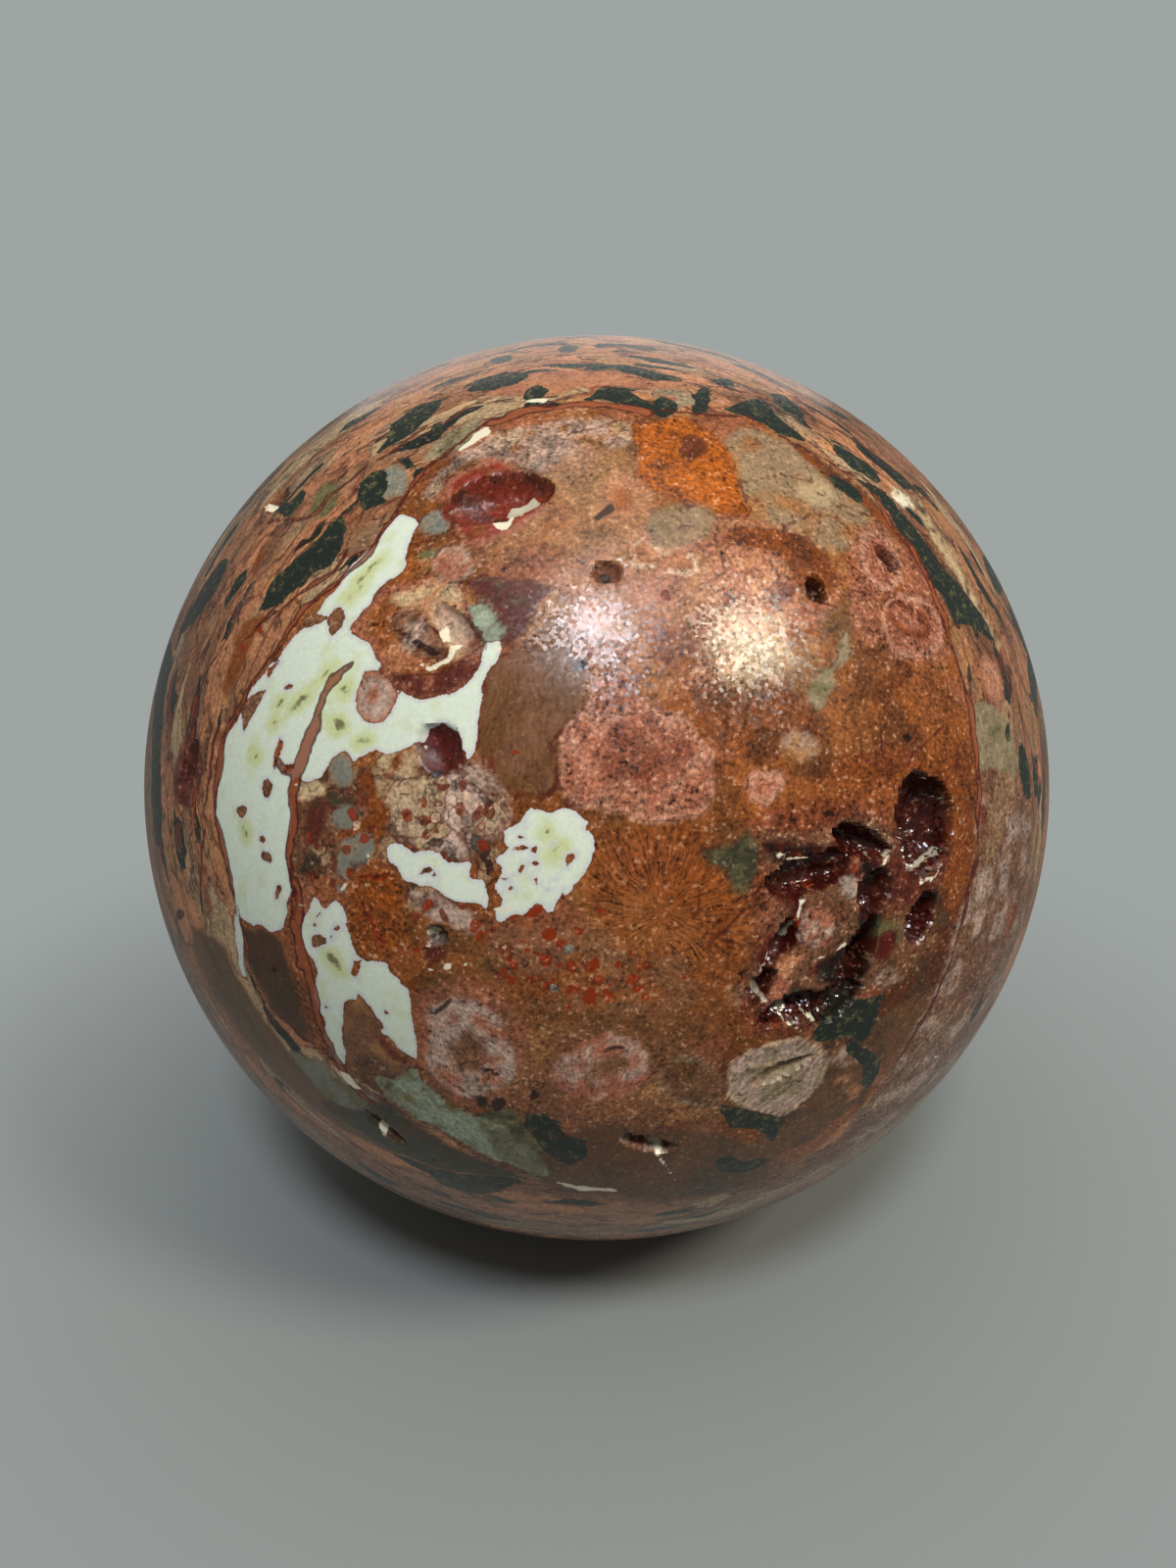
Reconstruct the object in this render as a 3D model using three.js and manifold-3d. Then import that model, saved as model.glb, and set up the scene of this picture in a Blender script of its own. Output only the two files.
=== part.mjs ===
// A polished sphere of brecciated calcite: one piece of stone, about 100 mm across.
// Open pits and crystal pockets break its polish, and a small flat is ground under it to rest on.
// Millimetres, +Z up. The origin is the centre of the flat, and the side with the large pale patch faces -Y.
import * as THREE from "three";
import { mergeVertices } from "three/addons/utils/BufferGeometryUtils.js";
import Module from "manifold-3d";

const SPHERE_DIAMETER = 100;
const REST_FLAT_DIAMETER = 16;

// How finely the ball and its pits are faceted: the times each edge of an icosahedron is split.
const SPHERE_SPLITS = 15;
const POCKET_SPLITS = 2;
const PIT_SPLITS = 1;
// A hollow at least this long is a crystal pocket, and takes the finer facets.
const POCKET_LENGTH = 5;
// How far a hollow's walls wander from a smooth bowl, as a share of its size.
const WALL_WANDER = 0.13;

const SPHERE_RADIUS = SPHERE_DIAMETER / 2;
const REST_FLAT_RADIUS = REST_FLAT_DIAMETER / 2;
const CENTRE_HEIGHT = Math.sqrt(SPHERE_RADIUS ** 2 - REST_FLAT_RADIUS ** 2);

// Where each hollow opens: bearing in degrees from the front towards the right, and height in
// degrees above the equator. Turn is how far its length leans anticlockwise from level, seen from outside.
const HOLLOWS = [
  // The garnet-red pockets low on the front's right side.
  { name: "oval pocket", bearing: 34, height: 15, length: 9.0, width: 6.6, depth: 3.2, turn: 84 },
  { name: "oval pocket's foot", bearing: 33, height: 6, length: 5.2, width: 2.8, depth: 2.0, turn: 58 },
  { name: "gallery roof", bearing: 26, height: 15, length: 5.6, width: 2.6, depth: 2.0, turn: -28 },
  { name: "gallery", bearing: 20, height: 13, length: 7.6, width: 3.2, depth: 2.2, turn: 8 },
  { name: "gallery corner", bearing: 27, height: 10, length: 4.4, width: 3.0, depth: 1.9, turn: 70 },
  { name: "long slot", bearing: 25, height: 4, length: 8.0, width: 2.6, depth: 2.6, turn: 64 },
  { name: "slot's foot", bearing: 23, height: 0, length: 5.0, width: 3.2, depth: 2.0, turn: 30 },
  { name: "lower pocket", bearing: 18, height: 0, length: 5.4, width: 2.8, depth: 2.0, turn: 12 },
  { name: "left slit, upper", bearing: 17, height: 7, length: 4.4, width: 1.8, depth: 1.6, turn: 64 },
  { name: "left slit, lower", bearing: 15, height: 3, length: 3.6, width: 1.7, depth: 1.5, turn: 60 },
  // The pits of the rest of the front.
  { name: "red pocket", bearing: -15, height: 50, length: 8.6, width: 5.6, depth: 1.8, turn: 20 },
  { name: "shell scar", bearing: -16, height: 36, length: 6.0, width: 2.4, depth: 0.9, turn: -38 },
  { name: "red crystal", bearing: -16, height: 25, length: 4.6, width: 3.4, depth: 0.8, turn: -60 },
  { name: "banded pebble's core", bearing: 18, height: -7, length: 5.4, width: 1.8, depth: 1.0, turn: 18 },
  { name: "foot crack", bearing: 5, height: -15, length: 5.0, width: 1.7, depth: 1.8, turn: -22 },
  { name: "amber pit", bearing: 27, height: 39, length: 2.4, width: 1.8, depth: 1.6, turn: 80 },
  { name: "loop pit", bearing: 41, height: 41, length: 3.0, width: 1.6, depth: 1.4, turn: -60 },
  { name: "round pit", bearing: 1, height: 42, length: 2.2, width: 2.0, depth: 0.9, turn: 0 },
  { name: "left edge scar", bearing: -50, height: 16, length: 6.4, width: 2.8, depth: 1.0, turn: 82 },
  { name: "upper left scar", bearing: -59, height: 46, length: 3.6, width: 1.9, depth: 0.9, turn: 40 },
  { name: "left twin pits, upper", bearing: -15, height: 8, length: 2.0, width: 1.6, depth: 1.0, turn: 30 },
  { name: "left foot chip", bearing: -23, height: -17, length: 4.4, width: 1.5, depth: 0.8, turn: -48 },
  // The sides and back.
  { name: "right side pocket", bearing: 88, height: 22, length: 6.4, width: 3.6, depth: 2.0, turn: 35 },
  { name: "right back slit", bearing: 128, height: -8, length: 6.8, width: 1.9, depth: 1.7, turn: 72 },
  { name: "back pocket", bearing: 166, height: 18, length: 8.4, width: 5.2, depth: 2.6, turn: 24 },
  { name: "back pocket's foot", bearing: 172, height: 9, length: 4.8, width: 2.4, depth: 1.7, turn: 62 },
  { name: "crown pit", bearing: 150, height: 66, length: 4.2, width: 2.4, depth: 1.3, turn: -15 },
  { name: "left back scar", bearing: -132, height: 30, length: 5.8, width: 2.2, depth: 1.4, turn: -50 },
  { name: "left side pit", bearing: -96, height: -12, length: 3.4, width: 2.4, depth: 1.4, turn: 40 },
  { name: "low back chip", bearing: -158, height: -34, length: 5.0, width: 2.0, depth: 1.2, turn: 10 },
];

const wasm = await Module();
wasm.setup();

// A closed geometry as a manifold-3d solid, which needs its shared vertices merged.
function solidFrom(geometry) {
  const bare = geometry.clone();
  bare.deleteAttribute("normal");
  bare.deleteAttribute("uv");
  const merged = mergeVertices(bare, 1e-4);
  return new wasm.Manifold(
    new wasm.Mesh({
      numProp: 3,
      vertProperties: merged.attributes.position.array,
      triVerts: new Uint32Array(merged.index.array),
    }),
  );
}

// A manifold-3d solid as a geometry for a mesh.
function geometryFrom(solid) {
  const mesh = solid.getMesh();
  const positions = new Float32Array(mesh.numVert * 3);
  for (let i = 0; i < mesh.numVert; i++) {
    positions.set(mesh.vertProperties.subarray(i * mesh.numProp, i * mesh.numProp + 3), i * 3);
  }
  const geometry = new THREE.BufferGeometry();
  geometry.setAttribute("position", new THREE.BufferAttribute(positions, 3));
  geometry.setIndex(new THREE.BufferAttribute(mesh.triVerts, 1));
  geometry.computeVertexNormals();
  return geometry;
}

// The unit vector from the ball's centre towards a bearing and height in degrees.
function outward(bearing, height) {
  const b = THREE.MathUtils.degToRad(bearing);
  const h = THREE.MathUtils.degToRad(height);
  return new THREE.Vector3(Math.sin(b) * Math.cos(h), -Math.cos(b) * Math.cos(h), Math.sin(h));
}

// The frame at a hollow's mouth: X along its length, Z outwards.
function mouthFrame({ bearing, height, turn }) {
  const out = outward(bearing, height);
  const level = new THREE.Vector3(0, 0, 1).cross(out).normalize();
  const rise = out.clone().cross(level);
  const angle = THREE.MathUtils.degToRad(turn);
  const along = level.multiplyScalar(Math.cos(angle)).addScaledVector(rise, Math.sin(angle));
  const across = out.clone().cross(along);
  const centre = out.clone().multiplyScalar(SPHERE_RADIUS);
  return new THREE.Matrix4().makeBasis(along, across, out).setPosition(centre);
}

// The uneven faceted blob that is cut out of the ball to open a hollow. The seed varies its walls.
function hollowTool(hollow, seed) {
  const splits = hollow.length >= POCKET_LENGTH ? POCKET_SPLITS : PIT_SPLITS;
  const blob = new THREE.IcosahedronGeometry(1, splits);
  const place = blob.attributes.position;
  const point = new THREE.Vector3();
  for (let i = 0; i < place.count; i++) {
    point.fromBufferAttribute(place, i);
    const wave = Math.sin(3.1 * point.x + 1.7 * seed) + Math.sin(4.3 * point.y - 2.3 * seed + 2.1 * point.z);
    point.multiplyScalar(1 + (WALL_WANDER * wave) / 2);
    place.setXYZ(i, point.x, point.y, point.z);
  }
  blob.scale(hollow.length / 2, hollow.width / 2, hollow.depth);
  return blob.applyMatrix4(mouthFrame(hollow));
}

// The ball with its hollows cut in it, moved up onto its flat.
function stoneGeometry() {
  let stone = solidFrom(new THREE.IcosahedronGeometry(SPHERE_RADIUS, SPHERE_SPLITS));
  HOLLOWS.forEach((hollow, index) => {
    stone = stone.subtract(solidFrom(hollowTool(hollow, index)));
  });
  const below = new THREE.BoxGeometry(SPHERE_DIAMETER, SPHERE_DIAMETER, SPHERE_DIAMETER);
  below.translate(0, 0, -CENTRE_HEIGHT - SPHERE_RADIUS);
  stone = stone.subtract(solidFrom(below));
  return geometryFrom(stone).translate(0, 0, CENTRE_HEIGHT);
}

const polishedStone = new THREE.MeshStandardMaterial({ color: 0xa4654c, roughness: 0.22, metalness: 0 });
const ball = new THREE.Mesh(stoneGeometry(), polishedStone);
ball.name = "calcite_sphere";

const part = new THREE.Group();
part.add(ball);

export default part;
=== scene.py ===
"""A polished ball of brecciated calcite: one stone, and the crystals in its open pockets.

The markings are outlines placed one by one. Most are as a picture of 1200 by 1600 pixels sees them from the
camera that this script makes. The rest, on the sides that the picture doesn't show, go by bearing and height.
"""

import itertools
import logging
import math
from dataclasses import dataclass, field, replace
from enum import Enum
from typing import Any

import bmesh
import bpy
import numpy as np
from mathutils import Matrix, Vector
from mathutils.kdtree import KDTree


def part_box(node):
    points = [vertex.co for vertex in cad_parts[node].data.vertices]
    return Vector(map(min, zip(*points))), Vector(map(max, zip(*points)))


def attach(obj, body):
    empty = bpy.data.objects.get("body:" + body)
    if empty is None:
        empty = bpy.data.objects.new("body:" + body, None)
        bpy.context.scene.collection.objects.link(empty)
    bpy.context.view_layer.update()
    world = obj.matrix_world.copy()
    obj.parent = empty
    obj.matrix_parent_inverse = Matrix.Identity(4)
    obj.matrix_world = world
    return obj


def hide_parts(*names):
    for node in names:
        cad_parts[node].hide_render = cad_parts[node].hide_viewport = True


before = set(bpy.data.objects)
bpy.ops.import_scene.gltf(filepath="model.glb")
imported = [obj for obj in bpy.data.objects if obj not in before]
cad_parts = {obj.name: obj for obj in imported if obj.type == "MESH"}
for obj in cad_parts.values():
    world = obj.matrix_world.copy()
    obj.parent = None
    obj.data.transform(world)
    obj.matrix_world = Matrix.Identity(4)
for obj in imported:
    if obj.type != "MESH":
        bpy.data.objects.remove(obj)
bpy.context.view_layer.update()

NODE = "calcite_sphere"
BODY = "root"
MM = 0.001
LOG = logging.getLogger("calcite_ball")

Pair = tuple[float, float]
Points = tuple[Pair, ...]
Colour = tuple[float, float, float, float]
# A seeded source of chance.
Chance = np.random.Generator


class Tone(Enum):
    """The stone's colours, as a screen shows them, 0 to 255."""

    ORANGE_BROWN = (136, 75, 32)
    DEEP_ORANGE = (130, 66, 22)
    AMBER = (170, 88, 22)
    BURNT = (92, 46, 20)
    ROSE = (158, 96, 70)
    PINK = (178, 124, 98)
    PINK_CREAM = (218, 184, 150)
    SALMON = (178, 118, 80)
    TAN = (162, 114, 70)
    TAN_BROWN = (108, 70, 38)
    PALE_TAN = (194, 166, 124)
    GREY_TAN = (146, 128, 98)
    GREY = (126, 124, 110)
    GREY_PINK = (178, 150, 132)
    CREAM = (236, 226, 196)
    MAROON = (90, 40, 28)
    RED_BROWN = (112, 52, 30)
    DARK_RED = (76, 22, 14)
    RED = (140, 50, 30)
    GARNET = (92, 24, 14)
    CHIP_RED = (138, 46, 10)
    BLACK_RED = (30, 12, 9)
    VEIN = (150, 78, 44)
    CHIP_BROWN = (150, 84, 40)
    MINT_SHADE = (206, 214, 156)
    LILAC = (204, 202, 208)
    MINT = (222, 232, 210)
    OLIVE = (108, 100, 62)
    DARK_OLIVE = (62, 60, 42)
    DARK_GREEN = (31, 40, 33)
    SAGE = (152, 162, 136)
    BROWN = (80, 56, 36)
    ROSE_BROWN = (120, 80, 54)

    def linear(self) -> np.ndarray:
        """The colour in linear light, 0 to 1."""
        share = np.array(self.value) / 255
        return np.where(share <= 0.04045, share / 12.92, ((share + 0.055) / 1.055) ** 2.4)

    def rgba(self) -> Colour:
        """The colour in linear light with full alpha."""
        return (*self.linear().tolist(), 1.0)


class Layer(Enum):
    """The measures that the stone's mesh carries, each a named attribute in millimetres or shares."""

    MINT = "mint_mm"
    GREEN = "green_mm"
    VEIN = "vein_mm"
    DARK = "dark_mm"
    STAIN = "stain_mm"
    # Cream flakes and painted glints.
    FLAKE_AND_GLINT = "flake_and_glint_mm"
    SEAM = "seam_mm"
    RED = "red_mm"
    CHIPS = "chips_share"
    GLASS = "glass_share"
    DULL = "dull_share"
    SUGAR = "sugar_share"
    FIBRE = "fibre_share"
    OUTER = "outer_share"


# The distance that stands for nowhere near an outline.
FAR_MM = 4.0
# Keeps a division away from nothing.
TINY = 1e-12
# A Mix node's sockets when it mixes colours.
MIX_SHARE, MIX_FIRST, MIX_SECOND, MIX_RESULT = 0, 6, 7, 2


def unit(vectors: np.ndarray) -> np.ndarray:
    """Rows of vectors, each brought to length 1."""
    return vectors / np.linalg.norm(vectors, axis=-1, keepdims=True)


def step_up(values: np.ndarray, low: float, high: float) -> np.ndarray:
    """A smooth rise from 0 at low to 1 at high."""
    share = np.clip((values - low) / (high - low), 0, 1)
    return share * share * (3 - 2 * share)


def tinted(tones: np.ndarray, other: Tone, share: np.ndarray) -> np.ndarray:
    """Colours moved towards another one.

    Args:
        tones: rows of colours in linear light.
        other: the other colour.
        share: how far each one moves, 0 to 1.

    Returns:
        The new rows.
    """
    return tones + (other.linear() - tones) * share[:, None]


def facing(bearing: float, height: float) -> np.ndarray:
    """The unit vector from the ball's centre towards a bearing and a height.

    Args:
        bearing: degrees from the front, -Y, towards the right.
        height: degrees above the equator.

    Returns:
        The direction as an array of three numbers.
    """
    b, h = math.radians(bearing), math.radians(height)
    return np.array([math.sin(b) * math.cos(h), -math.cos(b) * math.cos(h), math.sin(h)])


@dataclass(frozen=True)
class PictureView:
    """The camera that the markings are placed from, and where the ball stands in its picture."""

    width_px: float = 1200
    height_px: float = 1600
    focal_px: float = 1200
    pitch_deg: float = 22.1
    ball_x_px: float = 607.7
    ball_y_px: float = 803.4
    ball_radius_px: float = 461.7
    radius_mm: float = 50
    centre_height_mm: float = 49.36
    sensor_mm: float = 36

    def axes(self) -> np.ndarray:
        """The camera's directions.

        Returns:
            Its right, up and backward unit directions as three rows.
        """
        pitch = math.radians(self.pitch_deg)
        up = (0, math.sin(pitch), math.cos(pitch))
        back = (0, -math.cos(pitch), math.sin(pitch))
        return np.array([(1, 0, 0), up, back])

    def ray(self, x: float, y: float) -> np.ndarray:
        """The direction in which the camera sees a pixel."""
        seen = (x - self.width_px / 2, self.height_px / 2 - y, -self.focal_px)
        return unit(np.array(seen) @ self.axes())

    def eye(self) -> np.ndarray:
        """The camera's place in millimetres from the ball's centre."""
        distance = self.radius_mm / math.sin(math.atan(self.ball_radius_px / self.focal_px))
        return -distance * self.ray(self.ball_x_px, self.ball_y_px)

    def toward(self) -> np.ndarray:
        """The unit direction from the ball's centre to the camera."""
        return unit(self.eye())

    def onto(self, points: Points) -> np.ndarray:
        """Where pixels fall on the ball.

        Args:
            points: pixels as (x, y).

        Returns:
            A unit direction from the ball's centre for each, on the rim for a pixel past it.
        """
        eye = self.eye()
        found = []
        for x, y in points:
            ray = self.ray(x, y)
            middle = -eye @ ray
            spare = middle**2 - eye @ eye + self.radius_mm**2
            found.append(unit(eye + ray * (middle - math.sqrt(max(spare, 0)))))
        return np.array(found)


@dataclass(frozen=True)
class Chart:
    """A flat map of the ball round one direction, in millimetres, true near its middle."""

    middle: np.ndarray
    radius_mm: float

    def axes(self) -> tuple[np.ndarray, np.ndarray]:
        """The chart's own directions on the ball.

        Returns:
            The level one and the rising one.
        """
        level = np.cross((0, 0, 1), self.middle)
        level = level / max(np.linalg.norm(level), TINY)
        return level, np.cross(self.middle, level)

    def flatten(self, directions: np.ndarray) -> np.ndarray:
        """Lay directions flat.

        Args:
            directions: rows of unit directions.

        Returns:
            Their flat places in millimetres.
        """
        level, rise = self.axes()
        ahead = directions @ self.middle
        flat = np.stack((directions @ level, directions @ rise), axis=1)
        away = np.linalg.norm(flat, axis=1)
        stretch = np.arctan2(away, ahead) / np.maximum(away, TINY)
        return flat * stretch[:, None] * self.radius_mm

    def lift(self, flat: np.ndarray) -> np.ndarray:
        """Bring flat places back onto the ball.

        Args:
            flat: rows of flat millimetres.

        Returns:
            Their unit directions.
        """
        level, rise = self.axes()
        angle = np.linalg.norm(flat, axis=1) / self.radius_mm
        share = np.sinc(angle / math.pi)[:, None] / self.radius_mm
        return np.cos(angle)[:, None] * self.middle + share * (flat[:, :1] * level + flat[:, 1:] * rise)


def rounded(corners: np.ndarray, closed: bool, steps: int = 4) -> np.ndarray:
    """A smooth curve through given directions.

    Args:
        corners: the unit directions that the curve passes through.
        closed: whether the last joins the first.
        steps: points on the curve for each corner.

    Returns:
        The curve's unit directions.
    """
    if closed:
        padded = np.concatenate((corners[-1:], corners, corners[:2]))
    else:
        padded = np.concatenate((corners[:1], corners, corners[-1:]))
    curve = []
    for a, b, c, d in zip(padded, padded[1:], padded[2:], padded[3:]):
        for share in np.arange(steps) / steps:
            bend = (2 * a - 5 * b + 4 * c - d) * share**2 + (3 * b - a - 3 * c + d) * share**3
            curve.append(b + ((c - a) * share + bend) / 2)
    if not closed:
        curve.append(corners[-1])
    return unit(np.array(curve))


@dataclass(frozen=True)
class Oval:
    """An oval as the picture shows it: its middle, half sizes in pixels, and its lean in degrees."""

    x: float
    y: float
    across: float
    down: float
    lean: float = 0
    corners: int = 18

    def trace(self, view: PictureView) -> np.ndarray:
        """Find the oval's edge on the ball.

        Args:
            view: the picture's camera.

        Returns:
            The edge's unit directions.
        """
        turn = math.radians(self.lean)
        points = []
        for angle in np.arange(self.corners) * math.tau / self.corners:
            u, v = self.across * math.cos(angle), self.down * math.sin(angle)
            x = self.x + u * math.cos(turn) - v * math.sin(turn)
            points.append((x, self.y + u * math.sin(turn) + v * math.cos(turn)))
        return view.onto(tuple(points))

    def heart(self, view: PictureView) -> np.ndarray:
        """The direction of the oval's middle."""
        return view.onto(((self.x, self.y),))[0]


@dataclass(frozen=True)
class Loop:
    """A closed outline as the picture shows it, through a few pixels."""

    points: Points
    sharp: bool = False

    def trace(self, view: PictureView) -> np.ndarray:
        """The outline on the ball."""
        corners = view.onto(self.points)
        return corners if self.sharp else rounded(corners, closed=True)

    def heart(self, view: PictureView) -> np.ndarray:
        """The direction of the outline's middle."""
        return unit(view.onto(self.points).mean(axis=0))


@dataclass(frozen=True)
class Placed:
    """An uneven oval on a side that the picture doesn't show, in degrees and millimetres."""

    bearing: float
    height: float
    length: float
    width: float
    lean: float = 0
    wander: float = 0.18
    seed: int = 0
    corners: int = 22

    def trace(self, view: PictureView) -> np.ndarray:
        """Find the outline on the ball.

        Args:
            view: the picture's camera, which knows the ball's size.

        Returns:
            The outline's unit directions.
        """
        rng = np.random.default_rng(self.seed + 101)
        angles = np.arange(self.corners) * math.tau / self.corners
        waves = sum(
            np.sin(turns * angles + rng.uniform(0, math.tau)) * rng.uniform(0.4, 1) / turns
            for turns in (2, 3, 5, 7)
        )
        reach = 1 + self.wander * waves
        turn = math.radians(self.lean)
        u = reach * np.cos(angles) * self.length / 2
        v = reach * np.sin(angles) * self.width / 2
        level = u * math.cos(turn) - v * math.sin(turn)
        rise = u * math.sin(turn) + v * math.cos(turn)
        return Chart(self.heart(view), view.radius_mm).lift(np.stack((level, rise), axis=1))

    def heart(self, view: PictureView) -> np.ndarray:
        """The direction of the oval's middle."""
        return facing(self.bearing, self.height)


Shape = Oval | Loop | Placed


@dataclass(frozen=True)
class Clast:
    """One fragment or patch in the stone: its two tones, rim, core, rings, fibres, grain and soft edge."""

    name: str
    shape: Shape
    tone: Tone
    second: Tone | None = None
    blotch_mm: float = 2.0
    rim: Tone | None = None
    rim_mm: float = 0.7
    core: Tone | None = None
    core_share: float = 0.55
    rings: float = 0.0
    ring_mm: float = 1.1
    fibres: float = 0.0
    fan: Pair | None = None
    sugar: float = 0.6
    soft_mm: float = 0.25
    broken: float = 0.0
    over_mint: bool = False

    def opacity(self, hazy_mm: float = 0.8) -> float:
        """How much of what lies beneath it the patch hides: a hazy-edged one lets some through."""
        return 0.72 if self.soft_mm >= hazy_mm else 1.0

    def seamed(self, crisp_mm: float = 0.45) -> bool:
        """Whether its edge is crisp enough to show a thin dark seam."""
        return self.soft_mm < crisp_mm


@dataclass(frozen=True)
class Line:
    """A vein or crack as the picture shows it, through a few pixels."""

    points: Points
    width_mm: float

    def trace(self, view: PictureView) -> np.ndarray:
        """The vein's run on the ball."""
        return rounded(view.onto(self.points), closed=False)


@dataclass(frozen=True)
class Hollow:
    """An open pit or pocket: where it opens, its millimetres, what lines it and how glassy that is."""

    name: str
    bearing: float
    height: float
    length: float
    width: float
    depth: float
    turn: float
    lining: Tone
    glass: float


# The open pits and pockets, the same ones and in the same order as in the solid.
HOLLOWS = (
    Hollow("oval pocket", 34, 15, 9.0, 6.6, 3.2, 84, Tone.DARK_RED, 1.0),
    Hollow("oval pocket's foot", 33, 6, 5.2, 2.8, 2.0, 58, Tone.DARK_RED, 1.0),
    Hollow("gallery roof", 26, 15, 5.6, 2.6, 2.0, -28, Tone.DARK_RED, 1.0),
    Hollow("gallery", 20, 13, 7.6, 3.2, 2.2, 8, Tone.DARK_RED, 1.0),
    Hollow("gallery corner", 27, 10, 4.4, 3.0, 1.9, 70, Tone.DARK_RED, 1.0),
    Hollow("long slot", 25, 4, 8.0, 2.6, 2.6, 64, Tone.BLACK_RED, 1.0),
    Hollow("slot's foot", 23, 0, 5.0, 3.2, 2.0, 30, Tone.BLACK_RED, 1.0),
    Hollow("lower pocket", 18, 0, 5.4, 2.8, 2.0, 12, Tone.DARK_RED, 1.0),
    Hollow("left slit, upper", 17, 7, 4.4, 1.8, 1.6, 64, Tone.DARK_RED, 0.9),
    Hollow("left slit, lower", 15, 3, 3.6, 1.7, 1.5, 60, Tone.DARK_RED, 0.9),
    Hollow("red pocket", -15, 50, 8.6, 5.6, 1.8, 20, Tone.RED, 0.6),
    Hollow("shell scar", -16, 36, 6.0, 2.4, 0.9, -38, Tone.GREY_PINK, 0.1),
    Hollow("red crystal", -16, 25, 4.6, 3.4, 0.8, -60, Tone.GARNET, 0.4),
    Hollow("banded pebble's core", 18, -7, 5.4, 1.8, 1.0, 18, Tone.GREY_TAN, 0.0),
    Hollow("foot crack", 5, -15, 5.0, 1.7, 1.8, -22, Tone.CREAM, 0.1),
    Hollow("amber pit", 27, 39, 2.4, 1.8, 1.6, 80, Tone.BLACK_RED, 0.5),
    Hollow("loop pit", 41, 41, 3.0, 1.6, 1.4, -60, Tone.DARK_RED, 0.3),
    Hollow("round pit", 1, 42, 2.2, 2.0, 0.9, 0, Tone.MAROON, 0.2),
    Hollow("left edge scar", -50, 16, 6.4, 2.8, 1.0, 82, Tone.MAROON, 0.3),
    Hollow("upper left scar", -59, 46, 3.6, 1.9, 0.9, 40, Tone.MAROON, 0.2),
    Hollow("left twin pits, upper", -15, 8, 2.0, 1.6, 1.0, 30, Tone.GREY, 0.4),
    Hollow("left foot chip", -23, -17, 4.4, 1.5, 0.8, -48, Tone.OLIVE, 0.0),
    Hollow("right side pocket", 88, 22, 6.4, 3.6, 2.0, 35, Tone.DARK_RED, 1.0),
    Hollow("right back slit", 128, -8, 6.8, 1.9, 1.7, 72, Tone.DARK_RED, 0.9),
    Hollow("back pocket", 166, 18, 8.4, 5.2, 2.6, 24, Tone.DARK_RED, 1.0),
    Hollow("back pocket's foot", 172, 9, 4.8, 2.4, 1.7, 62, Tone.DARK_RED, 1.0),
    Hollow("crown pit", 150, 66, 4.2, 2.4, 1.3, -15, Tone.MAROON, 0.5),
    Hollow("left back scar", -132, 30, 5.8, 2.2, 1.4, -50, Tone.MAROON, 0.4),
    Hollow("left side pit", -96, -12, 3.4, 2.4, 1.4, 40, Tone.DARK_RED, 0.7),
    Hollow("low back chip", -158, -34, 5.0, 2.0, 1.2, 10, Tone.GREY_PINK, 0.1),
)

# The orange and rose heart of the stone, which a thin red-brown vein bounds.
HEART_EDGE: Points = (
    (242, 932), (231, 882), (221, 834), (223, 786), (238, 734), (270, 680), (313, 622), (366, 576),
    (397, 532), (425, 491), (457, 459), (500, 436), (560, 420), (638, 417), (720, 423), (768, 428),
    (805, 450), (861, 480), (913, 537), (948, 591), (967, 648), (986, 704), (996, 755), (1000, 806),
    (999, 850), (994, 882), (986, 919), (976, 962), (962, 1000), (952, 1025), (933, 1056), (915, 1086),
    (880, 1128), (840, 1165), (780, 1202), (700, 1220), (625, 1216), (561, 1203), (500, 1185), (447, 1155),
    (383, 1111), (318, 1068), (268, 1015),
)

HEART = Clast("heart", Loop(HEART_EDGE), Tone.ORANGE_BROWN, Tone.TAN_BROWN, 5.0, sugar=0.75, soft_mm=0.3)

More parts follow.
